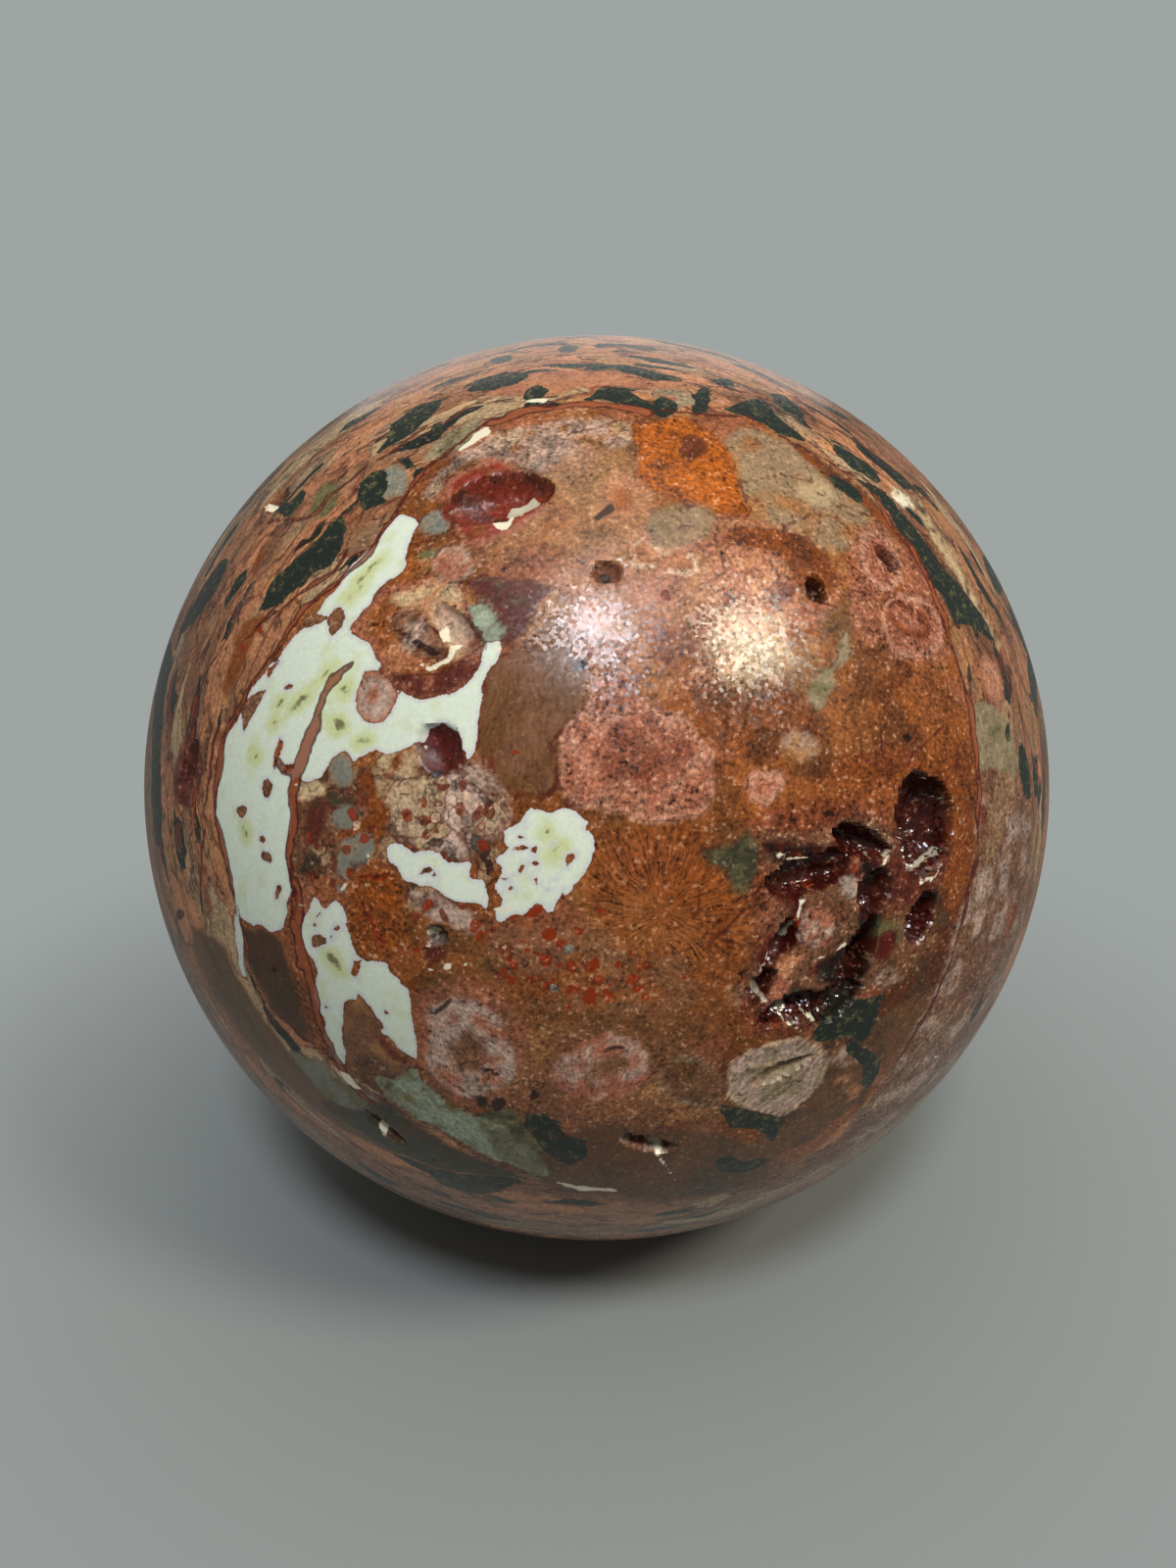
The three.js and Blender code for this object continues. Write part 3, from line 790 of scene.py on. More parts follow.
# Thin red-brown chips and pores in the mint.
MINT_SPOTS = (
    Oval(278, 685, 2.2, 11, 30), Oval(283, 772, 3.2, 15, 12), Oval(296, 786, 5, 3.4),
    Oval(281, 911, 2, 8, 8), Oval(436, 893, 8, 2.6), Oval(478, 887, 2.6, 3.6), Oval(529, 853, 2.6, 1.8),
    Oval(526, 866, 8, 2.8, -12), Oval(544, 869, 3.6, 5.6, 24), Oval(546, 882, 3, 3.2),
    Oval(531, 888, 2.2, 7, 26), Oval(562, 859, 2, 1.8), Oval(582, 872, 4.4, 3.6), Oval(577, 879, 3.2, 2.6),
    Oval(543, 900, 2.2, 3), Oval(565, 895, 2.6, 1.8), Oval(555, 909, 3.2, 2.2), Oval(575, 910, 2.6, 3.2),
    Oval(520, 909, 2.2, 2.2), Oval(326, 932, 2.4, 2.4), Oval(322, 944, 2.6, 2.4), Oval(344, 947, 2.6, 3.6),
    Oval(340, 957, 2, 3), Oval(362, 988, 3.4, 9, 12), Oval(333, 1024, 2.2, 2.4),
    Oval(392, 1032, 1.8, 5, -30), Oval(518, 900, 3.4, 1.8), Oval(236, 905, 2, 3), Oval(268, 857, 2.4, 3.4),
    Oval(603, 848, 5, 4, 30),
)

# Olive stains that lie on the mint.
MINT_STAINS = (
    Oval(385, 574, 13, 1.6, -42), Oval(364, 604, 14, 1.4, -42), Oval(372, 590, 1.4, 9, 46),
    Oval(306, 719, 13, 3.5, -46), Oval(345, 738, 8, 4, 46), Oval(373, 755, 5, 3, -20),
    Oval(285, 720, 2, 6, 30), Oval(250, 847, 2.4, 9, -14), Oval(343, 982, 2.6, 9, -30),
    Oval(260, 772, 2, 5, 30), Oval(349, 706, 4, 2.6), Oval(553, 845, 3, 2.4), Oval(566, 866, 1.6, 9, 40),
    Oval(332, 690, 1.4, 10, 34), Oval(280, 742, 3, 2),
)

# Dark green shards: the larger ones as outlines, the rest as ovals.
GREEN_PATCHES = (
    Loop(((265, 621), (267, 608), (282, 587), (306, 563), (319, 550), (336, 532), (349, 528), (351, 543),
        (347, 558), (336, 576), (327, 582), (310, 597), (293, 608), (278, 621)), sharp=True),
    Loop(((360, 509), (366, 491), (379, 483), (392, 482), (398, 492), (392, 505), (394, 514), (375, 524),
        (364, 517)), sharp=True),
    Loop(((380, 467), (395, 450), (397, 433), (414, 424), (429, 411), (453, 405), (451, 415), (438, 428),
        (418, 446), (397, 459)), sharp=True),
    Loop(((403, 470), (412, 465), (429, 474), (414, 480)), sharp=True),
    Loop(((281, 520), (284, 510), (296, 511), (312, 496), (318, 500), (308, 516), (297, 528)), sharp=True),
    Loop(((186, 641), (202, 608), (219, 580), (232, 571), (230, 581), (219, 602), (206, 624), (191, 643))),
    Loop(((234, 607), (241, 589), (252, 577), (252, 589), (243, 600))),
    Loop(((155, 760), (160, 700), (172, 656), (176, 668), (168, 720), (164, 790), (166, 850), (160, 862),
        (155, 810))),
    Loop(((590, 412), (606, 396), (640, 398), (672, 416), (676, 424), (660, 418), (640, 424), (626, 412),
        (612, 408)), sharp=True),
    Oval(676, 417, 13, 10), Oval(715, 409, 9, 15, 10),
    Loop(((736, 420), (764, 408), (779, 410), (792, 422), (803, 433), (822, 448), (825, 454), (801, 446),
        (783, 435), (762, 427)), sharp=True),
    Loop(((780, 400), (800, 404), (812, 414), (826, 428), (812, 426), (796, 418)), sharp=True),
    Loop(((724, 390), (744, 384), (756, 396), (742, 398)), sharp=True),
    Oval(874, 473, 30, 7, 36), Oval(864, 498, 21, 6, 40), Oval(920, 489, 11, 4, 50),
    Loop(((870, 487), (892, 503), (905, 520), (922, 546), (937, 567), (948, 591), (967, 612), (970, 628),
        (978, 637), (996, 641), (1013, 660), (1018, 674), (1014, 652), (1000, 624), (979, 600), (961, 580),
        (946, 558), (936, 540), (924, 526), (911, 511), (892, 495)), sharp=True),
    Loop(((1039, 757), (1046, 764), (1051, 789), (1052, 816), (1046, 811), (1040, 786)), sharp=True),
    Oval(1029, 748, 3, 12),
    Loop(((824, 1053), (848, 1036), (859, 1021), (880, 1018), (902, 1014), (898, 1032), (893, 1053),
        (881, 1064), (868, 1058), (852, 1062), (835, 1064)), sharp=True),
    Loop(((735, 1129), (756, 1130), (772, 1135), (790, 1138), (804, 1140), (799, 1153), (790, 1166),
        (782, 1158), (770, 1154), (747, 1153), (741, 1139)), sharp=True),
    Loop(((536, 1136), (554, 1136), (570, 1144), (579, 1156), (598, 1165), (597, 1181), (579, 1189),
        (561, 1183), (548, 1171), (546, 1156), (536, 1150)), sharp=True),
    Loop(((411, 1182), (441, 1193), (472, 1198), (502, 1201), (530, 1204), (524, 1212), (502, 1217),
        (478, 1217), (453, 1209), (435, 1197))),
    Loop(((726, 1187), (744, 1178), (760, 1185), (775, 1180), (779, 1188), (760, 1194), (738, 1195))),
    Loop(((866, 1064), (884, 1068), (900, 1090), (884, 1112), (878, 1094), (868, 1080))),
    Oval(662, 382, 34, 5, 11), Oval(510, 390, 34, 6, -14), Oval(546, 402, 12, 8, -30),
    Oval(446, 438, 9, 6, -30), Oval(594, 373, 46, 2.5), Oval(512, 367, 13, 4, -12), Oval(577, 356, 11, 4),
    Oval(1013, 582, 6, 24, -18), Oval(1053, 690, 4, 40, -6), Oval(996, 1030, 2, 16, 28),
)

# Fragments, slabs and seams in the stone outside the heart.
OUTER_CLASTS = (
    Clast("lower left olive", Loop(((380, 1122), (411, 1139), (441, 1161), (481, 1179), (515, 1194),
        (527, 1202), (472, 1197), (426, 1186), (396, 1172), (350, 1142), (330, 1124))), Tone.DARK_OLIVE,
        Tone.BROWN, 2.0, sugar=0.2, soft_mm=0.4),
    Clast("left brown slab", Loop(((226, 960), (246, 1000), (300, 1080), (350, 1130), (410, 1180),
        (330, 1140), (250, 1060), (205, 990), (196, 950))), Tone.DARK_OLIVE, Tone.BROWN, 3.0, sugar=0.1,
        soft_mm=0.8),
    Clast("left maroon scar", Oval(192, 790, 15, 38, 4), Tone.MAROON, Tone.ROSE, 0.9, sugar=0.5,
        soft_mm=0.4),
    Clast("grey shard", Oval(400, 492, 14, 18, 34), Tone.GREY, Tone.GREY_TAN, 1.0, sugar=0.3),
    Clast("grey bar", Oval(462, 448, 34, 10, -34), Tone.GREY_TAN, Tone.OLIVE, 1.0, sugar=0.5, soft_mm=0.3),
    Clast("olive slab", Loop(((318, 524), (330, 496), (350, 490), (340, 516), (326, 530))), Tone.OLIVE,
        Tone.TAN_BROWN, 1.0, sugar=0.3),
    Clast("orange lens", Oval(264, 572, 4, 14, 14), Tone.DEEP_ORANGE, Tone.RED_BROWN, 1.0, sugar=0.3),
    Clast("orange wedge", Loop(((245, 640), (262, 628), (276, 626), (250, 668), (238, 700), (228, 706))),
        Tone.DEEP_ORANGE, Tone.ORANGE_BROWN, 1.8, sugar=0.3, soft_mm=0.6),
    Clast("salmon shard", Loop(((332, 478), (352, 464), (380, 452), (374, 470), (350, 482), (330, 488))),
        Tone.SALMON, Tone.RED_BROWN, 1.0, rim=Tone.BROWN, rim_mm=0.25),
    Clast("pale inclusion", Oval(612, 403, 11, 5, -6), Tone.GREY_TAN, Tone.PALE_TAN, 1.0),
    Clast("pale wedge", Oval(690, 405, 20, 11, 6), Tone.GREY_TAN, Tone.ROSE, 1.2),
    Clast("salmon crown", Loop(((500, 400), (560, 380), (640, 382), (700, 396), (660, 398), (600, 392),
        (560, 404))), Tone.SALMON, Tone.ROSE, 2.0, sugar=0.4, soft_mm=0.5),
    Clast("pink pebble", Loop(((994, 672), (1005, 669), (1017, 682), (1024, 706), (1020, 727), (1012, 716),
        (1003, 697), (995, 687))), Tone.PINK, Tone.SALMON, 1.0, rim=Tone.ROSE, rim_mm=0.4, rings=0.2,
        ring_mm=0.8),
    Clast("grey-olive slab", Loop(((990, 725), (1008, 716), (1026, 732), (1036, 764), (1038, 789),
        (1012, 789), (1001, 790), (997, 760))), Tone.GREY_TAN, Tone.OLIVE, 1.2, sugar=0.4, soft_mm=0.2),
    Clast("red chip", Oval(1013, 800, 7, 11, -12), Tone.RED_BROWN, Tone.ROSE, 1.0),
    Clast("straw flake", Oval(920, 509, 13, 6, 42), Tone.CREAM, Tone.PALE_TAN, 0.7, sugar=0.8),
    Clast("right grey wing", Loop(((998, 790), (1040, 800), (1054, 850), (1046, 930), (1012, 1020),
        (962, 1100), (900, 1155), (860, 1160), (908, 1092), (950, 1020), (974, 950), (994, 880))),
        Tone.ROSE_BROWN, Tone.GREY_PINK, 1.6, sugar=0.9, soft_mm=0.7, broken=0.25),
    Clast("amber seam", Loop(((805, 452), (860, 486), (906, 526), (940, 570), (930, 566), (896, 528),
        (850, 492))), Tone.DEEP_ORANGE, Tone.BURNT, 1.4, sugar=0.3, soft_mm=0.3),
    Clast("dark straw seam", Loop(((930, 500), (966, 556), (1000, 616), (1022, 660), (1012, 652),
        (986, 606), (950, 548))), Tone.PALE_TAN, Tone.BROWN, 0.8, sugar=0.5, soft_mm=0.3),
)

# Red-brown veins. The first six run along the edge of the heart.
VEINS = (
    Line(((252, 968), (242, 932), (231, 882), (221, 834), (222, 786), (237, 734), (269, 680), (312, 622)),
        0.75),
    Line(((312, 622), (336, 600), (366, 574), (396, 532), (424, 491), (457, 459), (482, 441), (531, 422)),
        0.5),
    Line(((500, 434), (531, 423), (580, 414), (638, 417), (655, 421)), 1.25),
    Line(((640, 418), (720, 423), (753, 426), (768, 428), (805, 450), (861, 480), (892, 504)), 0.4),
    Line(((892, 504), (913, 537), (948, 591), (967, 648), (986, 704), (996, 755), (1000, 806), (999, 842)),
        0.75),
    Line(((999, 842), (996, 872), (990, 900), (984, 930), (975, 965), (962, 1000), (950, 1028),
        (915, 1086)), 0.5),
    Line(((740, 397), (783, 409), (809, 437), (848, 467), (881, 489), (913, 512), (935, 540), (957, 575)),
        0.3),
    Line(((957, 575), (989, 612), (1011, 645), (1022, 680), (1030, 730)), 0.32),
    Line(((460, 424), (503, 411), (547, 406), (568, 404)), 0.35),
    Line(((357, 681), (345, 688), (336, 703), (328, 722), (324, 740), (316, 756), (309, 774), (304, 787)),
        1.05),
    Line(((303, 790), (300, 820), (299, 845), (295, 872), (296, 900), (299, 925), (300, 955), (305, 985)),
        0.85),
    Line(((300, 900), (306, 925), (303, 955), (312, 985), (322, 1010), (323, 1035), (332, 1062),
        (350, 1095)), 1.0),
    Line(((300, 790), (290, 785), (283, 780)), 0.7),
    Line(((268, 1015), (318, 1068), (383, 1111), (447, 1155), (500, 1186), (561, 1203)), 0.3),
    Line(((350, 1094), (362, 1108), (378, 1122)), 0.6),
    Line(((263, 640), (300, 610), (340, 580), (350, 562)), 0.35),
    Line(((262, 536), (290, 530), (318, 528), (340, 504), (372, 478), (404, 462), (436, 434)), 0.5),
    Line(((366, 466), (390, 462), (330, 486), (290, 500)), 0.25),
    Line(((240, 664), (262, 640), (282, 616)), 0.25),
    Line(((196, 740), (206, 700), (226, 660), (236, 640)), 0.3),
    Line(((176, 880), (186, 780), (200, 720)), 0.25),
    Line(((205, 930), (206, 860), (212, 800), (222, 740)), 0.4),
    Line(((640, 386), (700, 392), (760, 402), (800, 424)), 0.25),
    Line(((649, 1047), (660, 1056), (668, 1075)), 0.35),
)

# Dark, tight cracks and slits.
CRACKS = (
    Line(((372, 637), (382, 638), (388, 639)), 0.55),
    Line(((404, 642), (424, 654), (440, 664)), 0.4),
    Line(((619, 773), (636, 780), (650, 786)), 0.35),
    Line(((829, 497), (838, 503)), 0.45),
    Line(((646, 1160), (662, 1159), (678, 1168)), 0.6),
    Line(((440, 1036), (452, 1030), (460, 1022)), 0.35),
    Line(((488, 1092), (497, 1090), (506, 1094)), 0.4),
    Line(((454, 1096), (468, 1106), (490, 1116)), 0.35),
    Line(((616, 1072), (631, 1070), (642, 1073)), 0.35),
    Line(((609, 528), (617, 523), (624, 518)), 0.6),
    Line(((770, 1103), (790, 1096), (812, 1088), (824, 1080)), 0.16),
    Line(((790, 1112), (806, 1106), (820, 1102)), 0.25),
)

# Painted glints: cream lines along crystal edges round the pockets and lower on the right, partly cream
# crystal.
PAINTED_GLEAMS = (
    Line(((786, 877), (806, 872), (826, 871)), 0.22),
    Line(((884, 842), (904, 854), (909, 872), (892, 896)), 0.24),
    Line(((962, 810), (974, 820), (979, 838)), 0.20),
    Line(((928, 888), (948, 880), (964, 866)), 0.24),
    Line(((940, 902), (953, 890), (958, 880)), 0.22),
    Line(((942, 926), (953, 912)), 0.22),
    Line(((804, 954), (814, 930), (826, 914)), 0.22),
    Line(((776, 990), (784, 970)), 0.20),
    Line(((834, 977), (848, 972), (862, 965)), 0.20),
    Line(((770, 1008), (775, 1018), (784, 1025)), 0.24),
    Line(((800, 1030), (804, 1048), (818, 1058)), 0.26),
    Line(((872, 1014), (884, 1007)), 0.20),
    Line(((932, 1087), (962, 1076), (988, 1058)), 0.18),
)

# Small dark red-brown spots in the red-spot field and elsewhere: middle and size in pixels.
RED_SPOTS = (
    (540, 969, 4), (551, 969, 4), (608, 982, 7), (553, 995, 5), (566, 1001, 4), (519, 999, 5),
    (510, 991, 4), (586, 1012, 5), (606, 1017, 7), (621, 1014, 3), (651, 1009, 3), (678, 1013, 4),
    (646, 974, 4), (636, 984, 4), (664, 989, 5), (674, 968, 4), (699, 1002, 4), (612, 934, 6),
    (541, 930, 8), (560, 952, 7), (524, 936, 5), (528, 765, 4), (588, 1026, 4), (660, 1000, 3),
    (630, 998, 4), (574, 985, 4), (246, 663, 4), (266, 642, 4),
)

# Near-black specks and pores: middle and size in pixels.
DARK_SPECKS = (
    (493, 1121, 6), (507, 1127, 7), (544, 1117, 5), (755, 995, 5), (811, 834, 6), (847, 827, 5),
    (862, 719, 3), (929, 753, 5), (962, 708, 2.5), (703, 817, 4), (695, 799, 2.5), (876, 652, 3),
    (615, 584, 5), (515, 578, 4), (643, 505, 1.6), (638, 512, 1.4), (648, 512, 1.2), (640, 519, 1.2),
    (280, 990, 4), (184, 935, 5), (1021, 935, 3), (448, 788, 5), (707, 566, 3), (901, 566, 4),
    (905, 577, 4), (975, 945, 3), (768, 648, 3), (588, 680, 7), (523, 730, 1.6), (262, 772, 2),
    (594, 528, 1.5), (557, 600, 2), (505, 604, 4), (500, 614, 3),
)

# Cream crystal edges that catch the light: partly cream crystal, partly painted glints.
FLAKES_AND_GLINTS = (
    Loop(((520, 508), (532, 504), (543, 500), (548, 510), (540, 518), (528, 522), (516, 516)), sharp=True),
    Loop(((503, 535), (512, 524), (524, 524), (530, 530), (522, 540), (508, 542)), sharp=True),
    Loop(((452, 676), (440, 674), (452, 668), (458, 656), (468, 652), (464, 666)), sharp=True),
    Loop(((424, 672), (440, 678), (448, 680), (436, 682)), sharp=True),
    Loop(((448, 640), (456, 630), (458, 650), (450, 652)), sharp=True),
    Oval(442, 953, 7, 4, corners=5), Oval(461, 984, 5, 4, -40, 5),
    Loop(((631, 1155), (649, 1162), (665, 1163), (676, 1171), (674, 1181), (686, 1199), (692, 1208),
        (682, 1198), (670, 1184), (668, 1174), (648, 1167), (636, 1160)), sharp=True),
    Loop(((561, 1200), (594, 1211), (625, 1214), (632, 1212), (624, 1217), (590, 1214)), sharp=True),
    Oval(276, 516, 6, 4, corners=5),
    Loop(((464, 456), (480, 446), (500, 436), (498, 444), (480, 452), (466, 459)), sharp=True),
    Loop(((536, 410), (560, 406), (558, 412), (540, 413)), sharp=True),
    Oval(921, 511, 11, 3, 38, 6), Oval(805, 1034, 6, 10, 20, 5), Oval(824, 1039, 6, 4, corners=5),
    Oval(774, 1012, 4, 10, -30, 5), Oval(798, 873, 11, 2, corners=6), Oval(886, 897, 6, 5, corners=5),
    Oval(948, 916, 5, 4, corners=5), Oval(804, 951, 3, 6, corners=5), Oval(821, 919, 4, 3, corners=5),
    Oval(514, 929, 12, 2, corners=6), Oval(356, 1101, 14, 3, 36, 6), Oval(351, 907, 8, 2, -60, 6),
    Loop(((503, 660), (509, 657), (514, 646), (514, 656), (522, 664), (510, 664)), sharp=True),
    Oval(389, 1151, 12, 2.5, 52, 6),
)

# Fields on the sides and the back.
FAR_FIELDS = (
    Clast("back heart", Placed(176, 12, 62, 46, 12, 0.12, 1), Tone.ORANGE_BROWN, Tone.ROSE, 5.0, sugar=0.8,
        soft_mm=0.6),
    Clast("back red pocket bed", Placed(166, 18, 11, 7.6, 24, 0.12, 27), Tone.DEEP_ORANGE, Tone.RED, 1.2,
        rim=Tone.ROSE, rim_mm=0.5),
    Clast("right side orange field", Placed(96, 24, 18, 12, 30, 0.20, 11), Tone.ORANGE_BROWN,
        Tone.DEEP_ORANGE, 2.2, sugar=0.8, soft_mm=0.8),
    Clast("left side orange field", Placed(-92, 22, 20, 12, 100, 0.2, 15), Tone.ORANGE_BROWN, Tone.ROSE,
        2.4, sugar=0.7, soft_mm=0.8),
)

# Fragments sown on the sides and the back: the ones that they take after, how many, and their millimetres.
FAR_SOWN = (
    (("rose ground", "tan field", "sunburst", "rosy foot", "upper right tan"), 7, (14, 24)),
    (("rose pebble", "banded pebble", "fan clast", "hatched pink clast, left", "amber patch", "pink pebble",
        "ringed rose clast", "grey window, lower"), 20, (5, 12)),
)

# Mint patches on the sides and the back.
FAR_MINT = (
    Placed(138, 30, 15, 8, 50, 0.34, 31), Placed(143, 18, 9, 5, 80, 0.34, 32),
    Placed(208, -4, 12, 6, 30, 0.34, 33), Placed(214, 8, 7, 3.6, 60, 0.34, 34),
    Placed(-104, -26, 12, 4.4, 60, 0.34, 35), Placed(100, -16, 8, 3, 70, 0.3, 36),
    Placed(180, 46, 10, 4.4, 10, 0.34, 37),
)


class RockNoise:
    """Smooth noise from a seeded lattice, the same at each run."""

    # Parts the lattices of two layers, and brings their sum back to about -1 to 1.
    shift = 17.3
    gain = 1.6

    def __init__(self, seed: int, size: int = 32) -> None:
        """Draw the lattice.

        Args:
            seed: picks the pattern.
            size: the cells along each side before the pattern repeats.
        """
        self.size = size
        self.lattice = np.random.default_rng(seed).random((size,) * 3)

    def at(self, places: np.ndarray, wave_mm: float, octaves: int = 1) -> np.ndarray:
        """The noise at places.

        Args:
            places: rows of millimetres.
            wave_mm: the size of the largest blotches.
            octaves: how many layers, each half the size of the last.

        Returns:
            About -1 to 1 for each place.
        """
        total = np.zeros(len(places))
        for octave in range(octaves):
            scaled = places / wave_mm * 2**octave + self.shift * octave
            cell = np.floor(scaled).astype(int)
            share = scaled - cell
            share = share * share * (3 - 2 * share)
            for corner in itertools.product((0, 1), repeat=3):
                weight = np.prod(np.where(corner, share, 1 - share), axis=1)
                value = self.lattice[tuple(((cell + corner) % self.size).T)]
                total += weight * (2 * value - 1) / 2**octave
        return total * self.gain / sum(0.5**octave for octave in range(octaves))


def inside_mm(places: np.ndarray, outline: np.ndarray) -> np.ndarray:
    """How far flat places lie inside a closed outline.

    Args:
        places: rows of flat millimetres.
        outline: the outline's corners in the same chart.

    Returns:
        Millimetres to the outline, below 0 outside it.
    """
    nearest = np.full(len(places), np.inf)
    within = np.zeros(len(places), dtype=bool)
    x, y = places.T
    for (ax, ay), (bx, by) in zip(outline, np.roll(outline, -1, axis=0)):
        run, rise = bx - ax, by - ay
        length = max(run * run + rise * rise, TINY)
        share = np.clip(((x - ax) * run + (y - ay) * rise) / length, 0, 1)
        nearest = np.minimum(nearest, (x - ax - share * run) ** 2 + (y - ay - share * rise) ** 2)
        if ay != by:
            within ^= ((ay > y) != (by > y)) & (x - ax < run * (y - ay) / rise)
    return np.where(within, 1, -1) * np.sqrt(nearest)


def run_mm(places: np.ndarray, run: np.ndarray) -> np.ndarray:
    """How far flat places lie from an open line.

    Args:
        places: rows of flat millimetres.
        run: the line's points in the same chart.

    Returns:
        Millimetres to the line.
    """
    nearest = np.full(len(places), np.inf)
    for start, end in zip(run, run[1:]):
        along = end - start
        share = np.clip((places - start) @ along / max(along @ along, TINY), 0, 1)
        nearest = np.minimum(nearest, ((places - start - share[:, None] * along) ** 2).sum(axis=1))
    return np.sqrt(nearest)


@dataclass
class HiddenSides:
    """What is sown on the sides and the back, which the picture doesn't show."""

    view: PictureView
    chance: Chance
    clast_seed: int = 300
    clast_deg: float = 82
    shard_count: int = 64
    shard_seed: int = 200
    shard_deg: float = 76
    seam_count: int = 34
    seam_seed: int = 400
    seam_deg: float = 72
    spots_each: int = 7

    def directions(self, count: int, hidden_deg: float) -> list[np.ndarray]:
        """Draw random directions away from the camera's.

        Args:
            count: how many.
            hidden_deg: the smallest angle from the camera's direction.

        Returns:
            The unit directions.
        """
        toward = self.view.toward()
        found: list[np.ndarray] = []
        while len(found) < count:
            direction = unit(self.chance.normal(size=3))
            if direction @ toward < math.cos(math.radians(hidden_deg)):
                found.append(direction)
        return found

    def oval(self, direction: np.ndarray, length: float, width: float, lean: float, seed: int) -> Placed:
        """Set an uneven oval round a direction.

        Args:
            direction: the unit direction of its middle.
            length: its length in millimetres.
            width: its width in millimetres.
            lean: how far its length leans from level, in degrees.
            seed: varies its edge.

        Returns:
            The oval.
        """
        bearing = math.degrees(math.atan2(direction[0], -direction[1]))
        height = math.degrees(math.asin(direction[2]))
        return Placed(bearing, height, length, width, lean, 0.3, seed)

    def bedding_lean(self, direction: np.ndarray) -> float:
        """How the stone's bedding leans at a direction: it runs in rings round the camera's axis.

        Args:
            direction: the unit direction.

        Returns:
            Degrees from level.
        """
        level, rise = Chart(direction, 1).axes()
        along = np.cross(self.view.toward(), direction)
        return math.degrees(math.atan2(along @ rise, along @ level))

    def clasts(self) -> tuple[Clast, ...]:
        """Fragments, each with the inside of one on the front.

        Returns:
            The fragments, the fields first.
        """
        kinds = {clast.name: clast for clast in (*GROUNDS, *OUTER_CLASTS, *CLASTS)}
        found = list(FAR_FIELDS)
        for names, count, sizes in FAR_SOWN:
            for seed, direction in enumerate(self.directions(count, self.clast_deg)):
                length = self.chance.uniform(*sizes)
                width = length * self.chance.uniform(0.5, 0.8)
                lean = self.chance.uniform(0, 180)
                shape = self.oval(direction, length, width, lean, seed + self.clast_seed)
                like = kinds[names[seed % len(names)]]
                found.append(replace(like, shape=shape, fan=None, over_mint=False))
        return tuple(found)

    def shards(self) -> tuple[Placed, ...]:
        """Dark green shards, their length along the bedding.

        Returns:
            The shards.
        """
        found = []
        for seed, direction in enumerate(self.directions(self.shard_count, self.shard_deg)):
            length = self.chance.uniform(2, 9)
            lean = self.bedding_lean(direction) + self.chance.normal(0, 16)
            width = length * self.chance.uniform(0.22, 0.5)
            found.append(self.oval(direction, length, width, lean, seed + self.shard_seed))
        return tuple(found)

    def seams(self) -> tuple[Placed, ...]:
        """Thin red-brown seams along the bedding.

        Returns:
            The seams.
        """
        found = []
        for seed, direction in enumerate(self.directions(self.seam_count, self.seam_deg)):
            lean = self.bedding_lean(direction) + self.chance.normal(0, 8)
            length = self.chance.uniform(10, 30)
            width = self.chance.uniform(0.3, 0.6)
            found.append(self.oval(direction, length, width, lean, seed + self.seam_seed))
        return tuple(found)

    def spots(self) -> tuple[Placed, ...]:
        """Small chips in the mint patches.

        Returns:
            The chips.
        """
        found = []
        for patch, seed in itertools.product(FAR_MINT, range(self.spots_each)):
            size = self.chance.uniform(0.5, 1.6)
            turn = self.chance.uniform(0, math.tau)
            away = patch.length * self.chance.uniform(0, 0.32) / self.view.radius_mm
            bearing = patch.bearing + math.degrees(away * math.cos(turn))
            height = patch.height + math.degrees(away * math.sin(turn))
            lean = self.chance.uniform(0, 180)
            found.append(Placed(bearing, height, size * 1.6, size, lean, 0.2, seed, 10))
        return tuple(found)


def wall_wave(rays: np.ndarray, seed: int) -> np.ndarray:
    """The waves in a hollow's walls.

    Args:
        rays: rows of unit directions from the hollow's middle, along its length, across it and outwards.
        seed: the hollow's number in the list.

    Returns:
        From -2 to 2 for each.
    """
    return np.sin(3.1 * rays[:, 0] + 1.7 * seed) + np.sin(4.3 * rays[:, 1] - 2.3 * seed + 2.1 * rays[:, 2])


def hollow_reach(
    hollow: Hollow, seed: int, skin: np.ndarray, radius_mm: float, wander: float = 0.13, rounds: int = 3
) -> tuple[np.ndarray, np.ndarray, np.ndarray]:
    """The part of the skin that a hollow opens, with the same uneven walls as its solid.

    Args:
        hollow: the hollow.
        seed: its number in the list, which varies its walls.
        skin: unit directions.
        radius_mm: the ball's radius.
        wander: how far the walls stray from a smooth bowl.
        rounds: how often the depth is worked out anew from the walls' waves there.

    Returns:
        The points inside its mouth, their depth as a share of the hollow's, and their depth in millimetres.
    """
    out = facing(hollow.bearing, hollow.height)
    level, rise = Chart(out, radius_mm).axes()
    turn = math.radians(hollow.turn)
    along = level * math.cos(turn) + rise * math.sin(turn)
    across = np.cross(out, along)
    which = np.flatnonzero(skin @ out > math.cos(hollow.length / radius_mm))
    x = skin[which] @ along * radius_mm / (hollow.length / 2)
    y = skin[which] @ across * radius_mm / (hollow.width / 2)
    z = np.zeros(len(which))
    for _ in range(rounds):
        rays = unit(np.column_stack((x, y, z)) + (0, 0, -1e-6))
        reach = 1 + wander * wall_wave(rays, seed) / 2
        z = -np.sqrt(np.maximum(reach**2 - x**2 - y**2, 0))
    sag = radius_mm * (1 - skin[which] @ out)
    depth = np.maximum(hollow.depth * -z - sag, 0)
    inside = depth > 0
    return which[inside], -z[inside], depth[inside]


# The fragments that the heart is broken into: how wide they are, how far their tones differ, and a seed.
SHATTERED = ((8.5, 0.42, 61), (3.6, 0.30, 62))
# The colours that some of those fragments take: a factor that picks them, and the least chance that does.
SHATTERED_TONES = ((Tone.ROSE, 7, 0.80), (Tone.TAN, 11, 0.84))


